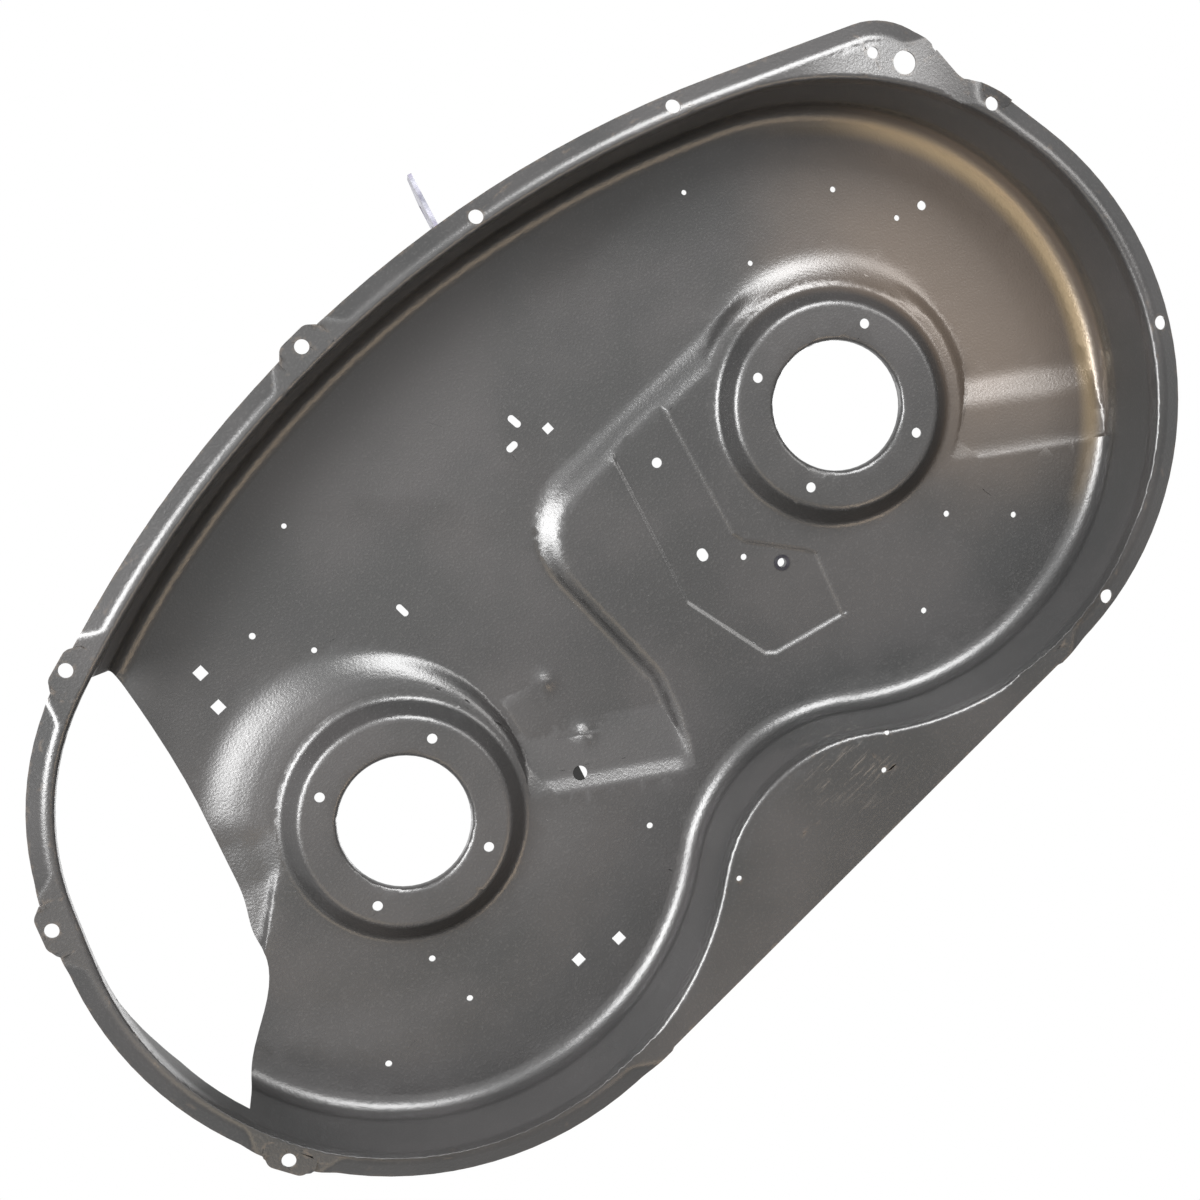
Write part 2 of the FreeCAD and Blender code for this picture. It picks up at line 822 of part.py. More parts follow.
def bracketArm():
    # flat arm with two slots and its upper outer corner cut off
    arm = Part.makeBox(bracketReach, bracketThick, bracketHeight)
    corner = [
        pt(bracketReach - bracketChamfer, -past, bracketHeight),
        pt(bracketReach, -past, bracketHeight - bracketChamfer),
        pt(bracketReach, -past, bracketHeight),
    ]
    arm = arm.cut(Part.Face(Part.makePolygon(corner + [corner[0]])).extrude(Vector(0, 2 * past + bracketThick, 0)))
    for tip, drop in ((bracketSlotTip, bracketSlotDrop), (bracketSlotRoot, bracketHeight / 2)):
        x = bracketReach - tip
        z = bracketHeight - drop
        half = (bracketSlotLong - bracketSlot) / 2
        arm = arm.cut(Part.makeBox(2 * half, 2 * past, bracketSlot, pt(x - half, -past, z - bracketSlot / 2)))
        for end in (x - half, x + half):
            arm = arm.cut(Part.makeCylinder(bracketSlot / 2, 2 * past, pt(end, -past, z), Vector(0, 1, 0)))
    return arm


def hangerBracket():
    # upright arm whose foot is bent along the outer side of the front wall
    centre = (bracketBend, bracketBend)
    inner = bracketBend - bracketThick
    last = 1.5 * math.pi + bracketSkew
    root = spot(centre, bracketBend, last)
    root2 = spot(centre, inner, last)
    edges = [
        line(pt(0, bracketFoot, 0), pt(0, bracketBend, 0)),
        arc(centre, bracketBend, math.pi, last, 0),
        line(pt(*root, 0), pt(*root2, 0)),
        arc(centre, inner, last, math.pi, 0),
        line(pt(bracketThick, bracketBend, 0), pt(bracketThick, bracketFoot, 0)),
        line(pt(bracketThick, bracketFoot, 0), pt(0, bracketFoot, 0)),
    ]
    foot = Part.Face(Part.Wire(edges)).extrude(Vector(0, 0, bracketHeight))
    arm = bracketArm()
    arm.rotate(pt(0, 0, 0), Vector(0, 0, 1), math.degrees(bracketSkew))
    arm.translate(pt(*root, 0))
    strip = foot.fuse(arm).removeSplitter()
    # the foot stands on the wall at its middle and leans back by the draft
    middle = bracketLevel + bracketHeight / 2
    wall = wallFront + wallAt(sheet, middle) + bracketSeat
    seatTurn = bracketTurn + bracketFoot / 2 / wall
    strip.translate(pt(0, -bracketFoot / 2, -bracketHeight / 2))
    strip.rotate(pt(0, 0, 0), Vector(0, 1, 0), -math.degrees(draft))
    strip.rotate(pt(0, 0, 0), Vector(0, 0, 1), math.degrees(seatTurn))
    strip.translate(pt(*spot(front, wall, seatTurn), middle))
    return strip


os.makedirs("parts", exist_ok=True)
pieces = {
    "deck_shell": deckShell(),
    "clinch_nut": clinchNut(),
    "stop_plate": stopPlate(),
    "hanger_bracket": hangerBracket(),
}
for name, shape in pieces.items():
    if len(shape.Solids) == 1:
        shape = shape.Solids[0]
    shape.translate(pt(-middleX, -middleY, 0.0))
    shape.exportStep("parts/" + name + ".step")
    print(name, len(shape.Solids), "solid", len(shape.Faces), "faces", round(shape.Volume), "mm3", shape.isValid())
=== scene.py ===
import bmesh
import bpy
import math
import numpy as np
from mathutils import Matrix, Vector, noise


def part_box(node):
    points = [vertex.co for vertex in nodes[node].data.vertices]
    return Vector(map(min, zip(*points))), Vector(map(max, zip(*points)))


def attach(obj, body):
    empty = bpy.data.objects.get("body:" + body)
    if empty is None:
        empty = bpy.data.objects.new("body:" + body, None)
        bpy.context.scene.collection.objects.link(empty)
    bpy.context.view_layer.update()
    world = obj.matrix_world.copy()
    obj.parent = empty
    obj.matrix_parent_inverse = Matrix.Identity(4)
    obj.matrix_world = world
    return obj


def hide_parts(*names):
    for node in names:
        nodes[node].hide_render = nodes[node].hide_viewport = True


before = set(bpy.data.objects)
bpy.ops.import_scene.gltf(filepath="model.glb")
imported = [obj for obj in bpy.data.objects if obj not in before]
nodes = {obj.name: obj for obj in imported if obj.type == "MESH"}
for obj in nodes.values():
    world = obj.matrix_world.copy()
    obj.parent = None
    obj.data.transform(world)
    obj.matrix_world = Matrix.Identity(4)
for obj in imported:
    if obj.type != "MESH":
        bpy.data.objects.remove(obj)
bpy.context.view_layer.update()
scene = bpy.context.scene

# the deck is measured in mm from the discharge side spindle, its box centre lies here
deckCentre = (-265.74, 55.11)


def deckPoint(x, y, z=0.0):
    return Vector(((x - deckCentre[0]) / 1000, (y - deckCentre[1]) / 1000, z / 1000))


def deckMm(co):
    return co.x * 1000 + deckCentre[0], co.y * 1000 + deckCentre[1], co.z * 1000


# camera, lamps and floor
cameraPlace = {
    "eye": (0.08692, 0.24520, -1.75112),
    "right": (-0.716815, -0.673033, -0.182219),
    "up": (-0.692238, 0.718237, 0.070298),
    "lens": 63.03,
    "shiftX": -0.0857,
    "shiftY": -0.0147,
    "sensor": 36.0,
    "clipEnd": 50.0,
}

lampRig = {
    # name: place, aim, size x, size y, watts, colour
    "leftSoftbox": ((1.18, 1.42, -1.60), (0.0, 0.0, 0.1), 1.5, 1.15, 190.0, (1.0, 1.0, 1.0)),
    "upSoftbox": ((-1.39, 1.21, -1.60), (0.0, 0.0, 0.1), 1.1, 1.15, 130.0, (1.0, 1.0, 1.0)),
    "rightSoftbox": ((-1.83, -0.10, -1.60), (0.0, 0.0, 0.1), 1.0, 0.8, 26.0, (1.0, 0.98, 0.96)),
    "backFill": ((0.10, 0.26, -2.60), (0.0, 0.0, 0.1), 1.5, 1.5, 6.0, (1.0, 0.99, 0.98)),
    "warmCard": ((1.35, -0.60, -1.35), (-0.4, 0.0, 0.1), 0.8, 0.8, 6.0, (1.0, 0.80, 0.55)),
    "warmFill": ((0.0, -1.75, -1.60), (0.0, 0.2, 0.1), 0.9, 0.7, 14.0, (1.0, 0.76, 0.52)),
    "topSoftbox": ((-1.20, -1.60, 2.60), (0.0, 0.0, 0.1), 2.0, 2.0, 62.0, (1.0, 1.0, 1.0)),
    "topFill": ((1.80, 1.20, 2.20), (0.0, 0.0, 0.1), 1.6, 1.6, 30.0, (1.0, 1.0, 1.0)),
}

floorStage = {"size": 16.0, "level": -0.0006, "colour": (0.80, 0.80, 0.79, 1.0), "roughness": 0.55}

worldLight = {"ambient": (0.55, 0.56, 0.58, 1.0), "strength": 0.3, "white": (1.0, 1.0, 1.0, 1.0)}


def makeCamera():
    data = bpy.data.cameras.new("photoCamera")
    data.sensor_width = cameraPlace["sensor"]
    data.lens = cameraPlace["lens"]
    data.shift_x = cameraPlace["shiftX"]
    data.shift_y = cameraPlace["shiftY"]
    data.clip_end = cameraPlace["clipEnd"]
    camera = bpy.data.objects.new("photoCamera", data)
    scene.collection.objects.link(camera)
    right = Vector(cameraPlace["right"]).normalized()
    up = Vector(cameraPlace["up"]).normalized()
    back = right.cross(up)
    turn = Matrix((right, up, back)).transposed().to_4x4()
    camera.matrix_world = Matrix.Translation(Vector(cameraPlace["eye"])) @ turn
    scene.camera = camera


def makeLamps():
    for name, (place, aim, wide, high, watts, colour) in lampRig.items():
        data = bpy.data.lights.new(name, "AREA")
        data.shape = "RECTANGLE"
        data.size = wide
        data.size_y = high
        data.energy = watts
        data.color = colour
        lamp = bpy.data.objects.new(name, data)
        scene.collection.objects.link(lamp)
        lamp.location = place
        lamp.rotation_euler = (Vector(aim) - Vector(place)).to_track_quat("-Z", "Y").to_euler()


def addNode(tree, kind, place=(0, 0), **values):
    node = tree.nodes.new(kind)
    node.location = place
    for key, value in values.items():
        setattr(node, key, value)
    return node


def wire(tree, a, b):
    tree.links.new(a, b)


def mathNode(tree, operation, a, b, place=(0, 0), clamp=False):
    node = addNode(tree, "ShaderNodeMath", place, operation=operation, use_clamp=clamp)
    for i, value in enumerate((a, b)):
        if isinstance(value, (int, float)):
            node.inputs[i].default_value = value
        else:
            wire(tree, value, node.inputs[i])
    return node.outputs[0]


def newMaterial(name):
    material = bpy.data.materials.new(name)
    material.use_nodes = True
    tree = material.node_tree
    shader = tree.nodes["Principled BSDF"]
    shader.location = (600, 0)
    tree.nodes["Material Output"].location = (900, 0)
    return material, tree, shader


def makeFloor():
    # seen from above only, so that the view from below looks past it
    bm = bmesh.new()
    bmesh.ops.create_grid(bm, x_segments=1, y_segments=1, size=floorStage["size"] / 2)
    mesh = bpy.data.meshes.new("paleFloor")
    bm.to_mesh(mesh)
    bm.free()
    floor = bpy.data.objects.new("paleFloor", mesh)
    floor.location.z = floorStage["level"]
    scene.collection.objects.link(floor)
    material, tree, shader = newMaterial("palePaper")
    shader.inputs["Base Color"].default_value = floorStage["colour"]
    shader.inputs["Roughness"].default_value = floorStage["roughness"]
    path = addNode(tree, "ShaderNodeLightPath", (0, 300))
    side = addNode(tree, "ShaderNodeNewGeometry", (0, -300))
    front = mathNode(tree, "SUBTRACT", 1.0, side.outputs["Backfacing"], (200, -300))
    seen = mathNode(tree, "MULTIPLY", path.outputs["Is Camera Ray"], front, (400, 300))
    clear = addNode(tree, "ShaderNodeBsdfTransparent", (600, 300))
    mix = addNode(tree, "ShaderNodeMixShader", (800, 200))
    wire(tree, seen, mix.inputs[0])
    wire(tree, clear.outputs[0], mix.inputs[1])
    wire(tree, shader.outputs[0], mix.inputs[2])
    wire(tree, mix.outputs[0], tree.nodes["Material Output"].inputs["Surface"])
    mesh.materials.append(material)


def makeWorld():
    # white where it is looked at, dim where it only lights
    world = bpy.data.worlds.new("paleStudio")
    scene.world = world
    world.use_nodes = True
    tree = world.node_tree
    ambient = tree.nodes["Background"]
    ambient.inputs["Color"].default_value = worldLight["ambient"]
    ambient.inputs["Strength"].default_value = worldLight["strength"]
    white = addNode(tree, "ShaderNodeBackground", (0, -200))
    white.inputs["Color"].default_value = worldLight["white"]
    white.inputs["Strength"].default_value = 1.0
    rays = addNode(tree, "ShaderNodeLightPath", (-600, 300)).outputs
    direct = mathNode(tree, "MAXIMUM", rays["Is Camera Ray"], rays["Is Glossy Ray"], (-400, 300))
    shown = mathNode(tree, "MAXIMUM", direct, rays["Is Transmission Ray"], (-200, 300))
    mix = addNode(tree, "ShaderNodeMixShader", (200, 0))
    wire(tree, shown, mix.inputs[0])
    wire(tree, ambient.outputs[0], mix.inputs[1])
    wire(tree, white.outputs[0], mix.inputs[2])
    wire(tree, mix.outputs[0], tree.nodes["World Output"].inputs["Surface"])


scene.view_settings.view_transform = "Standard"
makeCamera()
makeLamps()
makeFloor()
makeWorld()
print("stage: camera, lamps, floor and world are in place")


# the pressed shell, cells and gaps in m
shellMesh = {
    "wideCell": 0.014,
    # finest edge on the underside, the rim and the upper side
    "fineCell": (0.0058, 0.0048, 0.0084),
    "fineRounds": 2,
    "planeGap": 1e-6,
    "weldGap": 1e-5,
    "mergeGap": 0.0011,
    "foldAngle": math.radians(3.0),
    "edgeAngle": math.radians(62.0),
    "blurRounds": 5,
    "rimRounds": 14,
}

# thickness of the sheet and its levels over the rim, in mm
sheetForm = {"thick": 2.6, "rimTop": 9.0, "floor": 104.0, "tunnel": 116.0, "rise": 12.0}

# slow waves of the sheet, in mm
waveForm = {"high": 0.30, "long": 170.0, "above": 20.0}


def smoothStep(t):
    t = min(max(t, 0.0), 1.0)
    return t * t * (3 - 2 * t)


def smoothSteps(t):
    t = np.clip(t, 0, 1)
    return t * t * (3 - 2 * t)


def evenS(t):
    # from 0 to 1 along half a wave
    return (1 - math.cos(math.pi * t)) / 2


def unit(vectors):
    return vectors / np.maximum(np.linalg.norm(vectors, axis=1), 1e-12)[:, None]


# narrow crease round the raised pad on the web, in mm
creaseForm = {
    "corners": [
        (-432.0, 150.0), (-388.5, -21.0), (-391.5, -32.0), (-427.0, -77.0), (-432.0, -86.0),
        (-411.5, -147.0), (-341.5, -129.0), (-333.0, -121.5), (-313.0, -38.0), (-366.0, 150.0),
    ],
    "low": (-450.0, -160.0, 103.0),
    "high": (-300.0, 98.0, 110.0),
    # rows of points inwards from each side, as far as this past its ends
    "cuts": (-1.3, 0.0, 1.7, 3.4, 4.7),
    "cutReach": 12.0,
    "cutPast": 4.0,
    "cutGap": 2e-5,
    # tilt in degrees at each distance inwards
    "stops": (-9.0, -1.3, 0.0, 1.7, 3.4, 4.7, 9.0),
    "tilts": (0.0, 0.0, 15.0, 26.0, 15.0, 0.0, 0.0),
    "tiltReach": 9.0,
    "tiltPast": 1.5,
    "middle": 1.7,
}


def creaseSides():
    # start, direction, length and inward normal of each side of the pad
    points = creaseForm["corners"]
    for p, q in zip(points, points[1:] + points[:1]):
        length = math.hypot(q[0] - p[0], q[1] - p[1])
        ux, uy = (q[0] - p[0]) / length, (q[1] - p[1]) / length
        yield p, (ux, uy), length, (-uy, ux)


def sideGap(x, y, side):
    # distance past the ends of a side, and inwards from it
    p, u, length, n = side
    along = (x - p[0]) * u[0] + (y - p[1]) * u[1]
    inward = (x - p[0]) * n[0] + (y - p[1]) * n[1]
    return max(-along, along - length, 0.0), inward


def nearPad(spot):
    return all(low < at < high for at, low, high in zip(spot, creaseForm["low"], creaseForm["high"]))


def cutCreases(bm):
    # rows of points along the crease
    for side in creaseSides():
        p, u, length, n = side
        near = set()
        for f in bm.faces:
            spot = deckMm(f.calc_center_median())
            if nearPad(spot):
                past, inward = sideGap(spot[0], spot[1], side)
                if past < creaseForm["cutPast"] and abs(inward) < creaseForm["cutReach"]:
                    near.update(f.verts)
        for shift in creaseForm["cuts"]:
            faces = list({f for v in near for f in v.link_faces})
            edges = list({e for f in faces for e in f.edges})
            corners = list({v for f in faces for v in f.verts})
            cut = bmesh.ops.bisect_plane(
                bm,
                geom=faces + edges + corners,
                dist=creaseForm["cutGap"],
                plane_co=deckPoint(p[0] + n[0] * shift, p[1] + n[1] * shift),
                plane_no=Vector((n[0], n[1], 0)),
            )
            near.update(g for g in cut["geom_cut"] if isinstance(g, bmesh.types.BMVert))


def creaseNormals(co, normals):
    # true directions across the crease, from the nearest side
    best = np.full(len(co), 1e9)
    sides = list(creaseSides())
    reach = creaseForm["tiltReach"]
    for i, c in enumerate(co):
        spot = deckMm(Vector(c))
        if not nearPad(spot):
            continue
        for side in sides:
            past, inward = sideGap(spot[0], spot[1], side)
            if past > creaseForm["tiltPast"] or not -reach < inward < reach:
                continue
            gap = math.hypot(past, inward - creaseForm["middle"])
            if gap < best[i]:
                best[i] = gap
                tilt = math.radians(np.interp(inward, creaseForm["stops"], creaseForm["tilts"]))
                way = 1.0 if normals[i][2] > 0 else -1.0
                n = side[3]
                lean = -way * math.sin(tilt)
                normals[i] = (lean * n[0], lean * n[1], way * math.cos(tilt))
    return normals


# the rim and its curled lip, in mm and degrees
rimForm = {
    # centre, radius and turn of each arc of the edge, in order, and straight between them
    "arcs": [
        (-7.0, 7.0, 298.5, -90.16, 23.06),
        (24.5, 61.9, 248.011, 23.06, 68.91),
        (-250.0, -650.0, 1011.0, 68.91, 111.9),
        (-723.4, 182.5, 62.0, 111.9, 180.0),
        (-809.4, 151.02, 24.0, 0.0, -43.2),
        (-748.14, 93.55, 60.0, 136.8, 167.86),
        (-533.0, 0.0, 290.0, 167.86, 269.84),
    ],
    "arcStep": 57,
    "lipWide": 18.5,
    "curl": 12.0,
    # how much wider the curl is where the lip runs out
    "endCurl": 1.2,
    # lean of the lip in the mesh and in the shading
    "slope": (24.0, 37.0),
    # width and height of the lip that the tool pressed
    "pressed": (10.5, 4.4),
    "lipTop": 12.5,
    # the ear is bent out of the flat: middle, full and last reach, tilt, and the way it bends
    "ear": (-735.0, 195.0, 12.0, 92.0, 10.0),
    "earWay": (0.692, -0.718),
    # flat stretches: place, centre they are turned about, half length, run-out on both sides
    "flats": [
        (-220.5, 356.0, -250.0, -650.0, 19.0, 26.0, 26.0),
        (97.5, 296.0, 24.5, 61.9, 19.0, 26.0, 26.0),
        (254.0, 151.5, 24.5, 61.9, 19.0, 26.0, 26.0),
        (257.0, -124.0, -7.0, 7.0, 19.0, 26.0, 26.0),
        (-792.0, 162.0, -500.0, 138.0, 20.0, 26.0, 22.0),
        (-270.0, -291.0, -270.0, 0.0, 238.0, 40.0, 40.0),
    ],
    "flatReach": 20.0,
    "flatGap": 0.02,
    "leastShare": 0.001,
    "levelGap": 0.1,
    "weldGap": 4e-5,
    # only points that face up or down this much are shaded
    "leastUpright": 0.3,
    "shadeMargin": 1.0,
    "leastLean": 0.02,
    # points compared with the edge at a time
    "batch": 1500,
}


def rimEdge():
    # points along the edge of the rim, and the way outwards at each
    spots = []
    for cx, cy, radius, low, high in rimForm["arcs"]:
        count = max(int(abs(high - low) * radius / rimForm["arcStep"]), 2)
        turns = np.radians(np.linspace(low, high, count))
        spots.append(np.stack([cx + radius * np.cos(turns), cy + radius * np.sin(turns)], axis=1))
    rough = np.concatenate(spots)
    dense = []
    for p, q in zip(rough, np.roll(rough, -1, axis=0)):
        count = max(int(np.hypot(*(q - p))), 1)
        dense.append(p + (q - p) * (np.arange(count) / count)[:, None])
    dense = np.concatenate(dense)
    along = unit(np.roll(dense, -2, axis=0) - np.roll(dense, 2, axis=0))
    return dense, np.stack([along[:, 1], -along[:, 0]], axis=1)


def lipPlaces(x, y):
    # distance outside the edge, the way outwards, and the share of the lip's height
    # the share is -1 in the middle of a flat stretch
    edge, outwards = rimEdge()
    places = np.stack([x, y], axis=1)
    found = np.empty(len(x), dtype=np.int64)
    batch = rimForm["batch"]
    for i in range(0, len(x), batch):
        gaps = ((places[i:i + batch, None, :] - edge[None]) ** 2).sum(axis=2)
        found[i:i + batch] = gaps.argmin(axis=1)
    way = outwards[found]
    out = ((places - edge[found]) * way).sum(axis=1)
    share = np.ones(len(x))
    for fx, fy, cx, cy, half, runOn, runBack in rimForm["flats"]:
        reach = math.hypot(fx - cx, fy - cy)
        ux, uy = (fx - cx) / reach, (fy - cy) / reach
        along = (y - fy) * ux - (x - fx) * uy
        gap = np.abs(along)
        risen = smoothSteps((gap - half) / np.where(along > 0, runOn, runBack))
        risen = np.where(gap < half - rimForm["flatGap"], -1.0, risen)
        near = np.hypot(x - fx, y - fy) < half + max(runOn, runBack) + rimForm["flatReach"]
        share = np.where(near, np.minimum(share, risen), share)
    return out, way, share


def curlRadius(share):
    return rimForm["curl"] * (1 + rimForm["endCurl"] * (1 - np.maximum(share, 0)))


def liftLip(bm):
    # the lip curls up, and its bend swings outwards to the ends of each flat stretch
    rim = [v for v in bm.verts if v.co.z < sheetForm["rimTop"] / 1000]
    spots = np.array([deckMm(v.co) for v in rim])
    out, way, share = lipPlaces(spots[:, 0], spots[:, 1])
    pressedWide, pressedRise = rimForm["pressed"]
    lean = math.radians(rimForm["slope"][0])
    reach = np.clip(out + rimForm["lipWide"] * np.maximum(share, 0), 0, None)
    curl = curlRadius(share)
    bend = curl * math.sin(lean)
    onArc = np.minimum(reach, bend)
    onSlope = np.clip(reach - bend, 0, None)
    lift = curl - np.sqrt(curl ** 2 - onArc ** 2) + onSlope * math.tan(lean)
    before = pressedRise * np.clip(out / pressedWide + 1, 0, 1)
    z = spots[:, 2]
    level = np.minimum(np.abs(z), np.abs(z - sheetForm["thick"])) < rimForm["levelGap"]
    flat = (share < 0) | ((share < rimForm["leastShare"]) & level)
    shift = np.where(flat | (out < -rimForm["lipWide"]), 0.0, lift - before)
    for v, s in zip(rim, shift):
        v.co.z += s / 1000
    bmesh.ops.remove_doubles(bm, verts=rim, dist=rimForm["weldGap"])


def lipNormals(co, normals):
    # true directions on the curled lip and the bent ear
    low = co[:, 2] < rimForm["lipTop"] / 1000
    near = np.nonzero(low & (np.abs(normals[:, 2]) > rimForm["leastUpright"]))[0]
    x = co[near, 0] * 1000 + deckCentre[0]
    y = co[near, 1] * 1000 + deckCentre[1]
    out, way, share = lipPlaces(x, y)
    reach = out + rimForm["lipWide"] * np.maximum(share, 0)
    steepest = math.sin(math.radians(rimForm["slope"][1]))
    lean = np.arcsin(np.clip(reach / curlRadius(share), 0, steepest))
    lean = np.where(share < 0, 0.0, lean)
    side = np.where(normals[near, 2] > 0, 1.0, -1.0)
    flatWay = -side * np.sin(lean)
    found = np.stack([flatWay * way[:, 0], flatWay * way[:, 1], side * np.cos(lean)], axis=1)
    use = out > -rimForm["lipWide"] - rimForm["shadeMargin"]
    normals[near[use]] = found[use]
    ex, ey, full, last, tilt = rimForm["ear"]
    fall = smoothSteps((np.hypot(x - ex, y - ey) - full) / (last - full))
    bent = (1 - fall) * math.tan(math.radians(tilt)) * (lean < rimForm["leastLean"])
    for axis in range(2):
        normals[near, axis] += side * bent * rimForm["earWay"][axis]
    return unit(normals)


def turnShare(x, y, turn):
    # full between two azimuths, with a fade in degrees at both
    start, startFade, end, endFade = turn
    azimuth = math.degrees(math.atan2(y, x)) % 360
    return smoothStep((azimuth - start) / startFade) * smoothStep((end - azimuth) / endFade)


# the step beside the discharge side spindle, in mm and degrees
flareForm = {
    "inner": 113.0,
    # its outer circle as the tool pressed it, and as it is drawn
    "outer": (146.0, (22.0, 3.0)),
    "wide": (149.0, (21.7, 26.4)),
    # share of the way and of the height at the crest that the tool pressed
    "crest": (0.24, 0.4),
    # ledge at the ring: share of the height, and of the way
    "ledge": (0.2, 0.45),
    "slopeFrom": 0.25,
    "turn": (34.0, 14.0, 205.0, 14.0),
    "reach": 200.0,
}


def flareShare(x, y, circle):
    # how far a point lies from the ring edge to the outer circle
    inner = flareForm["inner"]
    outer, (mx, my) = circle
    grow = outer - inner
    a = mx * mx + my * my - grow * grow
    b = -2 * (x * mx + y * my + inner * grow)
    c = x * x + y * y - inner * inner
    root = b * b - 4 * a * c
    if c <= 0:
        return 0.0
    if root < 0:
        return 1.0
    return min(2 * c / (-b + math.sqrt(root)), 1.0)


def flareField(x, y):
    # a low ledge at the ring and an even S above it, wider than the tool pressed it
    if math.hypot(x, y) > flareForm["reach"]:
        return 0.0, 0.0, 0.0
    k = flareShare(x, y, flareForm["outer"])
    wide = flareShare(x, y, flareForm["wide"])
    if wide <= 0:
        return 0.0, 0.0, 0.0
    share, height = flareForm["crest"]
    if k < share:
        now = height * k / share
    else:
        now = height + (1 - height) * evenS((k - share) / (1 - share))
    low, ledgeEnd = flareForm["ledge"]
    start = flareForm["slopeFrom"]
    t = min(max((wide - start) / (1 - start), 0.0), 1.0)
    wish = low * smoothStep(wide / ledgeEnd) + (1 - low) * evenS(t)
    floor, rise = sheetForm["floor"], sheetForm["rise"]
    return floor + rise * now, floor + rise * wish, turnShare(x, y, flareForm["turn"])


# the step beside the far spindle, in mm and degrees
shelfForm = {
    "middle": (-533.0, 0.0),
    # its edges as the tool pressed it, and as it is drawn
    "pressed": (118.0, 133.0),
    "drawn": (112.0, 147.0),
    "power": 2.2,
    "turn": (80.0, 30.0, 182.0, 34.0),
    "reach": 170.0,
}


def shelfField(x, y):
    # the step starts steep at the ring and runs out softly
    dx, dy = x - shelfForm["middle"][0], y - shelfForm["middle"][1]
    reach = math.hypot(dx, dy)
    foot, head = shelfForm["drawn"]
    if not foot < reach < shelfForm["reach"]:
        return 0.0, 0.0, 0.0
    low, high = shelfForm["pressed"]
    now = evenS(min(max((reach - low) / (high - low), 0.0), 1.0))
    wish = 1 - (1 - min((reach - foot) / (head - foot), 1.0)) ** shelfForm["power"]
    floor, rise = sheetForm["floor"], sheetForm["rise"]
    return floor + rise * now, floor + rise * wish, turnShare(dx, dy, shelfForm["turn"])


# the two ramps, in mm and degrees
rampForm = {
    "way": (-0.5664, 0.8241),
    "long": 62.0,
    "runs": (-9.0, 86.0),
    "fade": (8.0, 14.0),
    "table": (-10, 90, 401),
    # foot, centre and reach of the ring and wall beside it, greatest x, tilt at each run
    "ramps": [
        {
            "foot": (-622.3, -141.6), "middle": (-533.0, 0.0), "reach": (112.0, 256.0), "limit": -600.0,
            "tilts": [
                (-10, 0), (-5, 0), (0, 24), (6, 12), (12, 3), (40, 3), (53, 25), (65, 25), (76, 4),
                (80, 0), (90, 0),
            ],
        },
        {
            "foot": (-162.9, -114.9), "middle": (0.0, 0.0), "reach": (113.0, 262.0), "limit": -110.0,
            "tilts": [(-10, 0), (-4, 0), (2, 24), (10, 24), (16, 9), (60, 9), (64, 0), (90, 0)],
        },
    ],
}


def rampTable(tilts):
    # height at each run, evened out so that the ramp climbs the whole step
    runs = np.linspace(*rampForm["table"])
    slopes = np.tan(np.radians(np.interp(runs, *zip(*tilts))))
    rises = np.concatenate([[0], np.cumsum((slopes[1:] + slopes[:-1]) / 2 * np.diff(runs))])
    return runs, rises * sheetForm["rise"] / rises[-1]


rampTables = [rampTable(ramp["tilts"]) for ramp in rampForm["ramps"]]


def rampField(x, y, k):
    ramp = rampForm["ramps"][k]
    (px, py), (cx, cy), (low, high) = ramp["foot"], ramp["middle"], ramp["reach"]
    wx, wy = rampForm["way"]
    run = (x - px) * wx + (y - py) * wy
    reach = math.hypot(x - cx, y - cy)
    first, last = rampForm["runs"]
    if not first < run < last or x > ramp["limit"] or not low < reach < high:
        return 0.0, 0.0, 0.0
    floor, rise = sheetForm["floor"], sheetForm["rise"]
    now = floor + rise * min(max(run / rampForm["long"], 0.0), 1.0)
    atRing, atWall = rampForm["fade"]
    weight = smoothStep((reach - low) / atRing) * smoothStep((high - reach) / atWall)
    return now, floor + float(np.interp(run, *rampTables[k])), weight


# how steps and ramps are told from the sheet round them, in mm
formMatch = {
    "above": 101.0, "upper": 2.65, "shiftGap": 0.7, "shadeGap": 0.9, "probe": 0.6,
    "differs": 0.05, "facesDown": -0.5,
}


def floorForms(x, y):
    # height in the tool, drawn height and share of each form
    return [flareField(x, y), shelfField(x, y), rampField(x, y, 0), rampField(x, y, 1)]


def onForm(z, level, gap):
    return min(abs(z - level), abs(z - level - formMatch["upper"])) < gap


def formShift(x, y, z):
    if z < formMatch["above"]:
        return 0.0
    for now, wish, weight in floorForms(x, y):
        if weight > 0 and onForm(z, now, formMatch["shiftGap"]):
            return (wish - now) * weight
    return 0.0


def formSlopes(x, y, k):
    # drawn slopes along x and y, none at the border of the form
    step = formMatch["probe"]
    slopes = []
    for dx, dy in ((step, 0.0), (0.0, step)):
        after, before = floorForms(x + dx, y + dy)[k], floorForms(x - dx, y - dy)[k]
        if not (after[2] > 0 and before[2] > 0):
            return None
        slopes.append((after[1] - before[1]) / (2 * step))
    return slopes


def formNormals(co, normals):
    # true directions on the steps and ramps
    for i in np.nonzero(co[:, 2] > formMatch["above"] / 1000)[0]:
        x, y, z = deckMm(Vector(co[i]))
        side = 1.0 if normals[i][2] > 0 else -1.0
        for k, (now, wish, weight) in enumerate(floorForms(x, y)):
            if weight <= 0 or not onForm(z, now + (wish - now) * weight, formMatch["shadeGap"]):
                continue
            slopes = formSlopes(x, y, k)
            if slopes is None:
                continue
            found = Vector((-side * slopes[0], -side * slopes[1], side)).normalized()
            normals[i] = (Vector(normals[i]) * (1 - weight) + found * weight).normalized()
            break
    return normals


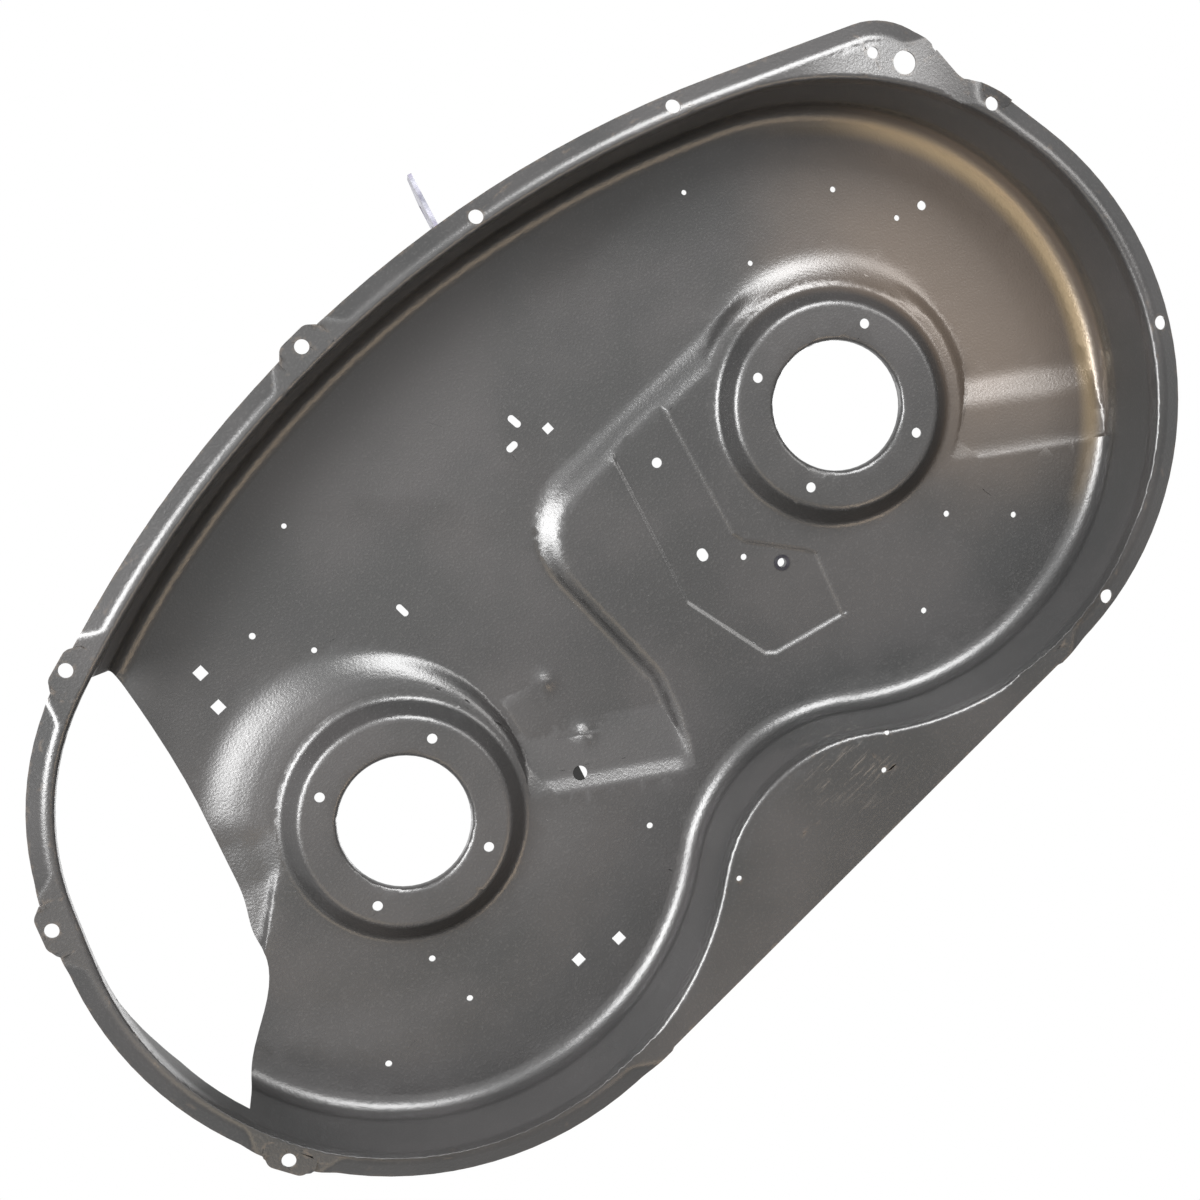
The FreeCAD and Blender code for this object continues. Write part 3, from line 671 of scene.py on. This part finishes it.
# round dents beside the near ramp, in mm: place, radius and rise
dentForm = {
    "dents": [
        (-170.0, 0.0, 9.0, -4.0),
        (-163.0, -58.0, 9.0, -4.0),
        (-152.0, 60.0, 16.0, -0.5),
    ],
    "reach": 3.0,
    "fineReach": 2.4,
    "above": 60.0,
    # the side towards +x is shaded less
    "oneSided": 0.6,
}


def dentShift(x, y, z):
    if z < dentForm["above"]:
        return 0.0
    lift = 0.0
    for dx, dy, r, high in dentForm["dents"]:
        d = math.hypot(x - dx, y - dy) / r
        if d < dentForm["reach"]:
            lift += high * math.exp(-d * d)
    return lift


def dentNormals(co, normals):
    for i in np.nonzero(co[:, 2] > formMatch["above"] / 1000)[0]:
        x, y, z = deckMm(Vector(co[i]))
        side = 1.0 if normals[i][2] > 0 else -1.0
        for dx, dy, r, high in dentForm["dents"]:
            gap = math.hypot(x - dx, y - dy) / r
            if gap < dentForm["reach"]:
                lit = smoothStep(0.5 - dentForm["oneSided"] * (x - dx) / (gap * r + 1.0))
                steep = -2 * high * math.exp(-gap * gap) / (r * r) * lit
                lean = Vector((-side * steep * (x - dx), -side * steep * (y - dy), 0))
                normals[i] = (Vector(normals[i]) + lean).normalized()
    return normals


# the pressed pad beside the near ramp sinks evenly from its far side, in mm
sidePad = {
    "x": (-180.0, -110.0),
    "y": (-70.0, 25.0),
    "levels": (113.0, 116.01),
    "upperFrom": 116.1,
    "farSide": ((-171.0, 0.0), (-164.0, -58.0)),
    "start": 2,
    "long": 30,
}


def sidePadShift(x, y, z):
    low, high = sidePad["levels"]
    if not (sidePad["x"][0] < x < sidePad["x"][1] and sidePad["y"][0] < y < sidePad["y"][1]):
        return 0.0
    base = z if z < sidePad["upperFrom"] else z - sheetForm["thick"]
    if base < low or base > high:
        return 0.0
    (px, py), (qx, qy) = sidePad["farSide"]
    gap = ((x - px) * (py - qy) + (y - py) * (qx - px)) / math.hypot(qx - px, qy - py)
    return (sheetForm["tunnel"] - base) * (1 - smoothStep((gap - sidePad["start"]) / sidePad["long"]))


def waveShift(x, y):
    length = waveForm["long"]
    return noise.noise(Vector((x / length, y / length, 0.0))) * waveForm["high"]


def pressDetails(bm):
    liftLip(bm)
    for v in bm.verts:
        x, y, z = deckMm(v.co)
        v.co.z += (formShift(x, y, z) + sidePadShift(x, y, z) + dentShift(x, y, z)) / 1000
        if z > waveForm["above"]:
            v.co.z += waveShift(x, y) / 1000


def gridCut(bm, cell):
    # cuts the whole sheet by upright and level planes
    low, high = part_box("deck_shell")
    for axis in range(3):
        normal = Vector((0, 0, 0))
        normal[axis] = 1.0
        for i in range(1, math.ceil((high[axis] - low[axis]) / cell)):
            place = Vector((0, 0, 0))
            place[axis] = low[axis] + i * cell
            everything = bm.verts[:] + bm.edges[:] + bm.faces[:]
            bmesh.ops.bisect_plane(
                bm, geom=everything, dist=shellMesh["planeGap"], plane_co=place, plane_no=normal,
            )


def drawnAnew(x, y):
    # on a dent, or where a step or ramp differs from the tool
    reach = dentForm["fineReach"]
    if any(math.hypot(x - dx, y - dy) < reach * r for dx, dy, r, high in dentForm["dents"]):
        return True
    least = formMatch["differs"]
    return any(weight > 0 and abs(wish - now) > least for now, wish, weight in floorForms(x, y))


def foldFaces(bm):
    # faces beside an edge where the sheet turns, but not at its cut edge
    found = set()
    for e in bm.edges:
        if len(e.link_faces) == 2:
            if shellMesh["foldAngle"] < e.calc_face_angle(0.0) < shellMesh["edgeAngle"]:
                found.update(e.link_faces)
    for f in bm.faces:
        x, y, z = deckMm(f.calc_center_median())
        if z < sheetForm["rimTop"]:
            found.add(f)
        elif f.normal.z < formMatch["facesDown"] and z > formMatch["above"] and drawnAnew(x, y):
            found.add(f)
    return found


def cellSize(f):
    # the underside is seen, so it is cut finer, the rim finest
    under, rim, over = shellMesh["fineCell"]
    if f.normal.z > 0:
        return over
    return rim if f.calc_center_median().z < sheetForm["rimTop"] / 1000 else under


def sharpEdges(bm):
    # cut edges of the sheet
    limit = shellMesh["edgeAngle"]
    return [e for e in bm.edges if len(e.link_faces) != 2 or e.calc_face_angle(0.0) >= limit]


def mergeSlivers(bm):
    # close points are one point, except along the cut edges of the sheet
    edge = {v for e in sharpEdges(bm) for v in e.verts}
    inner = [v for v in bm.verts if v not in edge]
    bmesh.ops.remove_doubles(bm, verts=inner, dist=shellMesh["mergeGap"])


def triangulate(bm):
    bmesh.ops.triangulate(bm, faces=[f for f in bm.faces if len(f.verts) > 3])


# circles of the chamber wall and the folds that run round them, in mm
wallForm = {
    # centre, radius, and 1 where the chamber lies inside
    "circles": [
        (0.0, 0.0, 272.0, 1.0),
        (24.5, 61.9, 225.011, 1.0),
        (-250.0, -650.0, 988.0, 1.0),
        (-521.6, 4.5, 279.384, 1.0),
        (-257.68, -332.93, 149.0, -1.0),
    ],
    "near": (-34, 10),
    "fold": 18.0,
    # band under and over a fold, and least share of its turn
    "foldBand": (3, 0.3),
    "foldLeast": math.sin(math.radians(4)),
    "foldLimit": math.radians(15),
    "mouth": 5.0,
    # band over the mouth fold and outside the wall
    "mouthBand": (1, 8),
    "mouthLeast": 0.05,
    "mouthLimit": math.radians(24),
}

# ring round each spindle plate, in mm
ringForm = {
    "spindles": [(0.0, 0.0), (-533.0, 0.0)],
    "from": 80,
    "above": 80,
    "inner": 88.5,
    "outer": 112.0,
    "fold": 9.0,
    "slope": math.radians(50.0),
    "limit": math.radians(16),
}


def foldNormals(co, guess):
    # true directions on the folds round the wall, at the rim and round the spindle plates
    # each replaces the guess where it lies closest to it, within a limit
    x = co[:, 0] * 1000 + deckCentre[0]
    y = co[:, 1] * 1000 + deckCentre[1]
    z = co[:, 2] * 1000
    upper = guess[:, 2] > 0
    side = np.where(upper, 1.0, -1.0)
    thick = np.where(upper, sheetForm["thick"], 0.0)
    best = guess.copy()
    bestFit = np.full(len(co), -1.0)

    def offer(outX, outY, lean, rise, band, limit):
        found = np.stack([side * lean * outX, side * lean * outY, side * rise], axis=1)
        found[~band] = np.nan
        fit = (found * guess).sum(axis=1)
        better = (fit > np.maximum(bestFit, math.cos(limit))) & np.isfinite(fit)
        best[better] = found[better]
        bestFit[better] = fit[better]

    inside, outside = wallForm["near"]
    under, over = wallForm["foldBand"]
    overMouth, outMouth = wallForm["mouthBand"]
    for cx, cy, radius, sign in wallForm["circles"]:
        reach = np.hypot(x - cx, y - cy)
        off = sign * (reach - radius)
        outX = sign * (x - cx) / reach
        outY = sign * (y - cy) / reach
        near = (off > inside) & (off < outside)
        for level in (sheetForm["tunnel"], sheetForm["floor"]):
            low = level - wallForm["fold"]
            rise = np.clip((z - low) / (wallForm["fold"] + thick), wallForm["foldLeast"], 1.0)
            band = near & (z > low - under) & (z < level + thick + over)
            offer(outX, outY, np.sqrt(1 - rise * rise), rise, band, wallForm["foldLimit"])
        mouth = wallForm["mouth"]
        flat = np.clip((mouth - z) / (mouth - thick), wallForm["mouthLeast"], 1.0)
        band = near & (z < mouth + overMouth) & (off < outMouth)
        offer(outX, outY, np.sqrt(1 - flat * flat), flat, band, wallForm["mouthLimit"])
    for cx, cy in ringForm["spindles"]:
        reach = np.hypot(x - cx, y - cy)
        foot = np.arcsin(np.clip((reach - ringForm["inner"]) / (ringForm["fold"] - thick), 0, 1))
        head = np.arcsin(np.clip((ringForm["outer"] - reach) / (ringForm["fold"] + thick), 0, 1))
        tilt = np.minimum(np.minimum(foot, head), ringForm["slope"])
        band = (reach > ringForm["from"]) & (reach < ringForm["outer"]) & (z > ringForm["above"])
        outX, outY = -(x - cx) / reach, -(y - cy) / reach
        offer(outX, outY, np.sin(tilt), np.cos(tilt), band, ringForm["limit"])
    return best


def spread(values, corners, count):
    # sum of one value per face at each of its points
    total = np.zeros((count, 3))
    for axis in range(3):
        for k in range(3):
            total[:, axis] += np.bincount(corners[:, k], weights=values[:, axis], minlength=count)
    return total


def softNormals(mesh, rounds, rimRounds):
    # rounds the shading over the folds, so that a highlight runs evenly along them
    count = len(mesh.vertices)
    co = np.empty(count * 3)
    mesh.vertices.foreach_get("co", co)
    co = co.reshape(-1, 3)
    smooth = co.copy()
    for i in np.nonzero(co[:, 2] > dentForm["above"] / 1000)[0]:
        smooth[i, 2] -= dentShift(*deckMm(Vector(co[i]))) / 1000
    corners = np.empty(len(mesh.loops), dtype=np.int64)
    mesh.loops.foreach_get("vertex_index", corners)
    corners = corners.reshape(-1, 3)
    a, b, c = (smooth[corners[:, k]] for k in range(3))
    area = np.cross(b - a, c - a)
    size = np.linalg.norm(area, axis=1)[:, None]

    def blurred(values):
        face = unit(values[corners].sum(axis=1))
        return unit(spread(face * size, corners, count))

    normals = unit(spread(area, corners, count))
    rim = (co[:, 2] < sheetForm["rimTop"] / 1000)[:, None]
    for i in range(rimRounds):
        softer = blurred(normals)
        normals = softer if i < rounds else np.where(rim, softer, normals)
    exact = foldNormals(co, normals)
    normals = unit(exact + blurred(exact))
    for sharpen in (formNormals, dentNormals, creaseNormals, lipNormals):
        normals = sharpen(co, normals)
    mesh.normals_split_custom_set_from_vertices(normals.tolist())


def makeShell():
    bm = bmesh.new()
    bm.from_mesh(nodes["deck_shell"].data)
    bmesh.ops.remove_doubles(bm, verts=bm.verts[:], dist=shellMesh["weldGap"])
    print("shell: merged", len(bm.faces), "faces")
    gridCut(bm, shellMesh["wideCell"])
    mergeSlivers(bm)
    print("shell: wide cells", len(bm.faces), "faces")
    for i in range(shellMesh["fineRounds"]):
        triangulate(bm)
        long = {e for f in foldFaces(bm) for e in f.edges if e.calc_length() > cellSize(f)}
        bmesh.ops.subdivide_edges(bm, edges=list(long), cuts=1, use_grid_fill=True)
    mergeSlivers(bm)
    cutCreases(bm)
    triangulate(bm)
    print("shell: fine cells", len(bm.faces), "faces")
    pressDetails(bm)
    cuts = sharpEdges(bm)
    edgeLayer = bm.verts.layers.float.new("cutEdge")
    for v in {v for e in cuts for v in e.verts if e.verts[0].co.z < sheetForm["rimTop"] / 1000}:
        v[edgeLayer] = 1.0
    bmesh.ops.split_edges(bm, edges=cuts)
    for f in bm.faces:
        f.smooth = True
    mesh = bpy.data.meshes.new("pressedShell")
    bm.to_mesh(mesh)
    bm.free()
    softNormals(mesh, shellMesh["blurRounds"], shellMesh["rimRounds"])
    shell = bpy.data.objects.new("pressedShell", mesh)
    scene.collection.objects.link(shell)
    return shell


shell = makeShell()
print("shell: triangles", sum(len(p.vertices) - 2 for p in shell.data.polygons))
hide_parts("deck_shell")
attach(shell, "root")


# shader groups shared by the materials
def newGroup(name, inputs, outputs):
    tree = bpy.data.node_groups.new(name, "ShaderNodeTree")
    for label, kind, value in inputs:
        socket = tree.interface.new_socket(name=label, in_out="INPUT", socket_type=kind)
        if value is not None:
            socket.default_value = value
    for label in outputs:
        tree.interface.new_socket(name=label, in_out="OUTPUT", socket_type="NodeSocketFloat")
    start = addNode(tree, "NodeGroupInput", (-1000, 0))
    end = addNode(tree, "NodeGroupOutput", (800, 0))
    return tree, start.outputs, end.inputs


def useGroup(tree, group, place, **values):
    node = addNode(tree, "ShaderNodeGroup", place)
    node.node_tree = group
    for label, value in values.items():
        if isinstance(value, (int, float, tuple)):
            node.inputs[label].default_value = value
        else:
            wire(tree, value, node.inputs[label])
    return node.outputs


def noiseNode(tree, vector, scale, detail=2.0, rough=0.5, place=(0, 0)):
    node = addNode(tree, "ShaderNodeTexNoise", place)
    node.inputs["Detail"].default_value = detail
    node.inputs["Roughness"].default_value = rough
    if isinstance(scale, (int, float)):
        node.inputs["Scale"].default_value = scale
    else:
        wire(tree, scale, node.inputs["Scale"])
    wire(tree, vector, node.inputs["Vector"])
    return node.outputs["Fac"]


def rangeNode(tree, value, ends, place=(0, 0)):
    # smooth from 0 at the first end to 1 at the second
    node = addNode(tree, "ShaderNodeMapRange", place, interpolation_type="SMOOTHSTEP")
    node.inputs["From Min"].default_value, node.inputs["From Max"].default_value = ends
    wire(tree, value, node.inputs["Value"])
    return node.outputs["Result"]


def glossNode(tree, value, ends, place=(0, 0)):
    # roughness between two values
    node = addNode(tree, "ShaderNodeMapRange", place)
    node.inputs["To Min"].default_value, node.inputs["To Max"].default_value = ends
    wire(tree, value, node.inputs["Value"])
    return node.outputs["Result"]


def mixColour(tree, share, a, b, blend="MIX", place=(0, 0)):
    node = addNode(tree, "ShaderNodeMix", place, data_type="RGBA", blend_type=blend)
    for socket, value in ((node.inputs[0], share), (node.inputs[6], a), (node.inputs[7], b)):
        if isinstance(value, (int, float, tuple)):
            socket.default_value = value
        else:
            wire(tree, value, socket)
    return node.outputs[2]


def bumpNode(tree, height, strength, distance, before=None, place=(0, 0)):
    node = addNode(tree, "ShaderNodeBump", place)
    node.inputs["Strength"].default_value = strength
    node.inputs["Distance"].default_value = distance
    wire(tree, height, node.inputs["Height"])
    if before is not None:
        wire(tree, before, node.inputs["Normal"])
    return node.outputs["Normal"]


def makePeelGroup():
    # fine dimples of the baked powder with a slow swell under them
    tree, given, end = newGroup(
        "orangePeel",
        [
            ("Vector", "NodeSocketVector", None),
            ("Scale", "NodeSocketFloat", 400.0),
            ("Swell", "NodeSocketFloat", 0.5),
        ],
        ["Height", "Mask"],
    )
    fine = noiseNode(tree, given["Vector"], given["Scale"], 2.0, 0.55, (-600, 200))
    slowScale = mathNode(tree, "MULTIPLY", given["Scale"], 0.12, (-800, -200))
    slow = noiseNode(tree, given["Vector"], slowScale, 1.0, 0.5, (-600, -200))
    swell = mathNode(tree, "MULTIPLY", slow, given["Swell"], (-300, -200))
    wire(tree, mathNode(tree, "ADD", fine, swell), end["Height"])
    wire(tree, rangeNode(tree, fine, (0.52, 0.72), (0, 300)), end["Mask"])
    return tree


def makePatchGroup():
    # soft round patch with a cloudy rim
    tree, given, end = newGroup(
        "softPatch",
        [
            ("Vector", "NodeSocketVector", None),
            ("Middle", "NodeSocketVector", None),
            ("Radius", "NodeSocketFloat", 0.2),
            ("Cloud", "NodeSocketFloat", 0.3),
        ],
        ["Mask"],
    )
    gap = addNode(tree, "ShaderNodeVectorMath", (-600, 200), operation="DISTANCE")
    wire(tree, given["Vector"], gap.inputs[0])
    wire(tree, given["Middle"], gap.inputs[1])
    share = mathNode(tree, "DIVIDE", gap.outputs["Value"], given["Radius"], (-400, 200))
    cloud = noiseNode(tree, given["Vector"], 11.0, 3.0, 0.5, (-600, -200))
    swing = mathNode(tree, "SUBTRACT", cloud, 0.5, (-400, -200))
    swing = mathNode(tree, "MULTIPLY", swing, given["Cloud"], (-200, -200))
    ragged = mathNode(tree, "ADD", share, swing, (0, 100))
    fall = rangeNode(tree, ragged, (0.25, 1.0), (200, 100))
    wire(tree, mathNode(tree, "SUBTRACT", 1.0, fall, (400, 100)), end["Mask"])
    return tree


def makeRubGroup():
    # short rubbed streaks and chips inside a patch
    tree, given, end = newGroup(
        "rubMarks",
        [
            ("Vector", "NodeSocketVector", None),
            ("Patch", "NodeSocketFloat", 1.0),
            ("Scale", "NodeSocketFloat", 60.0),
            ("Amount", "NodeSocketFloat", 0.5),
        ],
        ["Mask"],
    )
    stretch = addNode(tree, "ShaderNodeMapping", (-800, 0))
    stretch.inputs["Rotation"].default_value = (0.0, 0.0, math.radians(52.0))
    stretch.inputs["Scale"].default_value = (0.35, 3.0, 1.0)
    wire(tree, given["Vector"], stretch.inputs["Vector"])
    streak = noiseNode(tree, stretch.outputs["Vector"], given["Scale"], 6.0, 0.65, (-600, 0))
    more = mathNode(tree, "MULTIPLY", given["Amount"], 0.3, (-600, -300))
    level = mathNode(tree, "ADD", streak, more, (-300, 0))
    mark = rangeNode(tree, level, (0.72, 0.90), (-100, 0))
    wire(tree, mathNode(tree, "MULTIPLY", mark, given["Patch"], (300, 0)), end["Mask"])
    return tree


peelGroup = makePeelGroup()
patchGroup = makePatchGroup()
rubGroup = makeRubGroup()


# the coat of the shell, places and heights in m
coatLook = {
    "dark": (0.013, 0.013, 0.013, 1.0),
    "light": (0.021, 0.020, 0.020, 1.0),
    "cloudScale": 7.0,
    "cloudEnds": (0.35, 0.68),
    "roughness": (0.28, 0.35),
    "grain": (0.045, 0.044, 0.043, 1.0),
    "grainShare": 0.25,
    "peelScale": 430.0,
    "peelSwell": 0.8,
    "peelBump": (0.38, 0.0005),
}

# warmer floor at the far end, and a painted gold highlight along the fold round it
bronzeLook = {
    "bronze": (0.060, 0.048, 0.039, 1.0),
    "middle": (-0.47, -0.06, 0.10),
    "radius": 0.27,
    "cloud": 0.35,
    "height": (0.094, 0.104),
    "metal": 0.22,
    # painted highlight: colour, place, height and metal share of the gold shine along the fold
    "goldHighlight": (0.20, 0.152, 0.092, 1.0),
    "foldMiddle": (-0.256, -0.051, 0.0),
    "foldReach": (0.244, 0.259, 0.270),
    "foldHeight": (0.085, 0.102),
    "highlightMetal": 0.45,
}

# the wall is duller than the floor
wallLook = {"foot": (0.012, 0.022), "head": (0.088, 0.078), "duller": 0.26}

# bare cut edges, and rubbed marks on the web
wearLook = {
    "edge": (0.085, 0.066, 0.050, 1.0),
    "edgeShare": 0.35,
    "chipScale": 150.0,
    "chipEnds": (0.40, 0.66),
    "worn": (0.15, 0.13, 0.11, 1.0),
    "wornShare": 0.28,
    "middle": (-0.045, -0.275, 0.03),
    "radius": 0.075,
    "cloud": 0.9,
    "scale": 95.0,
    "amount": 0.62,
    "bump": (0.25, 0.0004),
}


def bronzeMasks(tree, place, spot):
    # where the coat is warmer, and where a gold highlight is painted along the fold
    haze = useGroup(
        tree, patchGroup, (-1200, 500), Vector=place,
        Middle=bronzeLook["middle"], Radius=bronzeLook["radius"], Cloud=bronzeLook["cloud"],
    )
    lifted = rangeNode(tree, spot["Z"], bronzeLook["height"], (-1200, 1000))
    warm = mathNode(tree, "MULTIPLY", haze["Mask"], lifted, (-800, 500))
    # painted highlight: a gold band along the fold, inside the warm patch
    flat = addNode(tree, "ShaderNodeCombineXYZ", (-1200, 1200))
    wire(tree, spot["X"], flat.inputs["X"])
    wire(tree, spot["Y"], flat.inputs["Y"])
    reach = addNode(tree, "ShaderNodeVectorMath", (-1000, 1200), operation="DISTANCE")
    reach.inputs[1].default_value = bronzeLook["foldMiddle"]
    wire(tree, flat.outputs[0], reach.inputs[0])
    near, top, far = bronzeLook["foldReach"]
    inside = rangeNode(tree, reach.outputs["Value"], (near, top), (-800, 1200))
    outside = rangeNode(tree, reach.outputs["Value"], (far, top), (-800, 1000))
    band = mathNode(tree, "MULTIPLY", inside, outside, (-600, 1200))
    high = rangeNode(tree, spot["Z"], bronzeLook["foldHeight"], (-800, 1400))
    fold = mathNode(tree, "MULTIPLY", band, high, (-400, 1200))
    return warm, mathNode(tree, "MULTIPLY", fold, warm, (-200, 1200))


def scuffMask(tree, place):
    patch = useGroup(
        tree, patchGroup, (-1200, 200), Vector=place,
        Middle=wearLook["middle"], Radius=wearLook["radius"], Cloud=wearLook["cloud"],
    )
    scuff = useGroup(
        tree, rubGroup, (-900, 200), Vector=place,
        Patch=patch["Mask"], Scale=wearLook["scale"], Amount=wearLook["amount"],
    )
    return scuff["Mask"]


def edgeMask(tree, place):
    edge = addNode(tree, "ShaderNodeAttribute", (-1200, -100), attribute_name="cutEdge")
    chips = noiseNode(tree, place, wearLook["chipScale"], 3.0, 0.6, (-1200, -300))
    chipped = rangeNode(tree, chips, wearLook["chipEnds"], (-900, -300))
    bare = mathNode(tree, "MULTIPLY", edge.outputs["Fac"], chipped, (-600, 0))
    return mathNode(tree, "MULTIPLY", bare, wearLook["edgeShare"], (-400, 200))


def wallMask(tree, spot):
    head = rangeNode(tree, spot["Z"], wallLook["head"], (200, -700))
    foot = rangeNode(tree, spot["Z"], wallLook["foot"], (200, -900))
    return mathNode(tree, "MULTIPLY", head, foot, (400, -700))


def makeCoat():
    # dark grey powder coat, warmer and slightly metallic in a cloudy patch on the floor at the far end
    material, tree, shader = newMaterial("powderCoat")
    place = addNode(tree, "ShaderNodeTexCoord", (-1600, 0)).outputs["Object"]
    separate = addNode(tree, "ShaderNodeSeparateXYZ", (-1400, 1000))
    wire(tree, place, separate.inputs[0])
    spot = separate.outputs
    peel = useGroup(
        tree, peelGroup, (-1000, -500), Vector=place,
        Scale=coatLook["peelScale"], Swell=coatLook["peelSwell"],
    )
    warm, goldHighlight = bronzeMasks(tree, place, spot)
    scuff = scuffMask(tree, place)

    cloud = noiseNode(tree, place, coatLook["cloudScale"], 4.0, 0.5, (-1200, 800))
    shade = rangeNode(tree, cloud, coatLook["cloudEnds"], (-900, 800))
    colour = mixColour(tree, shade, coatLook["dark"], coatLook["light"], place=(-600, 700))
    speck = mathNode(tree, "MULTIPLY", peel["Mask"], coatLook["grainShare"], (-700, 900))
    worn = mathNode(tree, "MULTIPLY", scuff, wearLook["wornShare"], (-200, 200))
    layers = (
        (speck, coatLook["grain"], (-400, 700)),
        (warm, bronzeLook["bronze"], (-200, 600)),
        # painted highlight: gold along the far fold
        (goldHighlight, bronzeLook["goldHighlight"], (-100, 800)),
        (edgeMask(tree, place), wearLook["edge"], (0, 500)),
        (worn, wearLook["worn"], (200, 400)),
    )
    for share, over, at in layers:
        colour = mixColour(tree, share, colour, over, place=at)
    wire(tree, colour, shader.inputs["Base Color"])

    gloss = glossNode(tree, cloud, coatLook["roughness"], (200, 0))
    duller = mathNode(tree, "MULTIPLY", wallMask(tree, spot), wallLook["duller"], (500, -300))
    wire(tree, mathNode(tree, "ADD", gloss, duller, (600, -100)), shader.inputs["Roughness"])
    warmMetal = mathNode(tree, "MULTIPLY", warm, bronzeLook["metal"], (0, -200))
    # painted highlight: the gold fold is made more metallic so that it shines
    goldHighlightMetal = mathNode(tree, "MULTIPLY", goldHighlight, bronzeLook["highlightMetal"], (0, -350))
    metal = mathNode(tree, "ADD", warmMetal, goldHighlightMetal, (200, -200), clamp=True)
    wire(tree, metal, shader.inputs["Metallic"])
    soft = bumpNode(tree, peel["Height"], *coatLook["peelBump"], place=(0, -500))
    rough = bumpNode(tree, scuff, *wearLook["bump"], before=soft, place=(300, -500))
    wire(tree, rough, shader.inputs["Normal"])
    return material


# zinc plate of the nut and the bracket: cloud scale, and how light it is
zincLook = {
    "zinc": (0.34, 0.35, 0.38, 1.0),
    "dark": (0.15, 0.15, 0.18, 1.0),
    "cloudEnds": (0.32, 0.70),
    "tint": (0.26, 0.22, 0.32, 1.0),
    "tintShare": 0.35,
    "bandScale": 1.4,
    "metal": 0.85,
    "roughness": (0.28, 0.45),
    "peelScale": 900.0,
    "peelSwell": 0.3,
    "peelBump": (0.20, 0.0003),
}
nutLook = {"scale": 120.0, "tone": 0.12}
bracketLook = {"scale": 60.0, "tone": 0.7}


def makeZinc(name, look):
    # cloudy spangle and a faint passivated tint
    material, tree, shader = newMaterial(name)
    place = addNode(tree, "ShaderNodeTexCoord", (-1600, 0)).outputs["Object"]
    cloud = noiseNode(tree, place, look["scale"], 5.0, 0.6, (-1200, 300))
    bands = addNode(tree, "ShaderNodeTexWave", (-1200, 0), bands_direction="Z")
    bands.inputs["Scale"].default_value = look["scale"] * zincLook["bandScale"]
    bands.inputs["Distortion"].default_value = 3.0
    bands.inputs["Detail"].default_value = 2.0
    wire(tree, place, bands.inputs["Vector"])
    shade = rangeNode(tree, cloud, zincLook["cloudEnds"], (-900, 300))
    colour = mixColour(tree, shade, zincLook["dark"], zincLook["zinc"], place=(-600, 300))
    tinted = mathNode(tree, "MULTIPLY", bands.outputs["Fac"], zincLook["tintShare"], (-600, 0))
    colour = mixColour(tree, tinted, colour, zincLook["tint"], place=(-300, 300))
    tone = (look["tone"], look["tone"], look["tone"], 1.0)
    colour = mixColour(tree, 1.0, colour, tone, "MULTIPLY", (-100, 300))
    wire(tree, colour, shader.inputs["Base Color"])
    shader.inputs["Metallic"].default_value = zincLook["metal"]
    wire(tree, glossNode(tree, cloud, zincLook["roughness"]), shader.inputs["Roughness"])
    peel = useGroup(
        tree, peelGroup, (-600, -400), Vector=place,
        Scale=zincLook["peelScale"], Swell=zincLook["peelSwell"],
    )
    soft = bumpNode(tree, peel["Height"], *zincLook["peelBump"], place=(0, -400))
    wire(tree, soft, shader.inputs["Normal"])
    return material


# painted shade: the stop plate is coloured near black because it lies in the dark above its hole
stopLook = {"colour": (0.004, 0.004, 0.004, 1.0), "roughness": 0.75, "specular": 0.15}


def makeShade():
    material, tree, shader = newMaterial("shadedPlate")
    shader.inputs["Base Color"].default_value = stopLook["colour"]
    shader.inputs["Roughness"].default_value = stopLook["roughness"]
    shader.inputs["Specular IOR Level"].default_value = stopLook["specular"]
    return material


shell.data.materials.clear()
shell.data.materials.append(makeCoat())
dressing = {
    # painted shade on the stop plate
    "stop_plate": makeShade(),
    "clinch_nut": makeZinc("nutPlating", nutLook),
    "hanger_bracket": makeZinc("bracketPlating", bracketLook),
}
for name, material in dressing.items():
    nodes[name].data.materials.clear()
    nodes[name].data.materials.append(material)
print("materials: coat and plating on", len(dressing) + 1, "pieces")
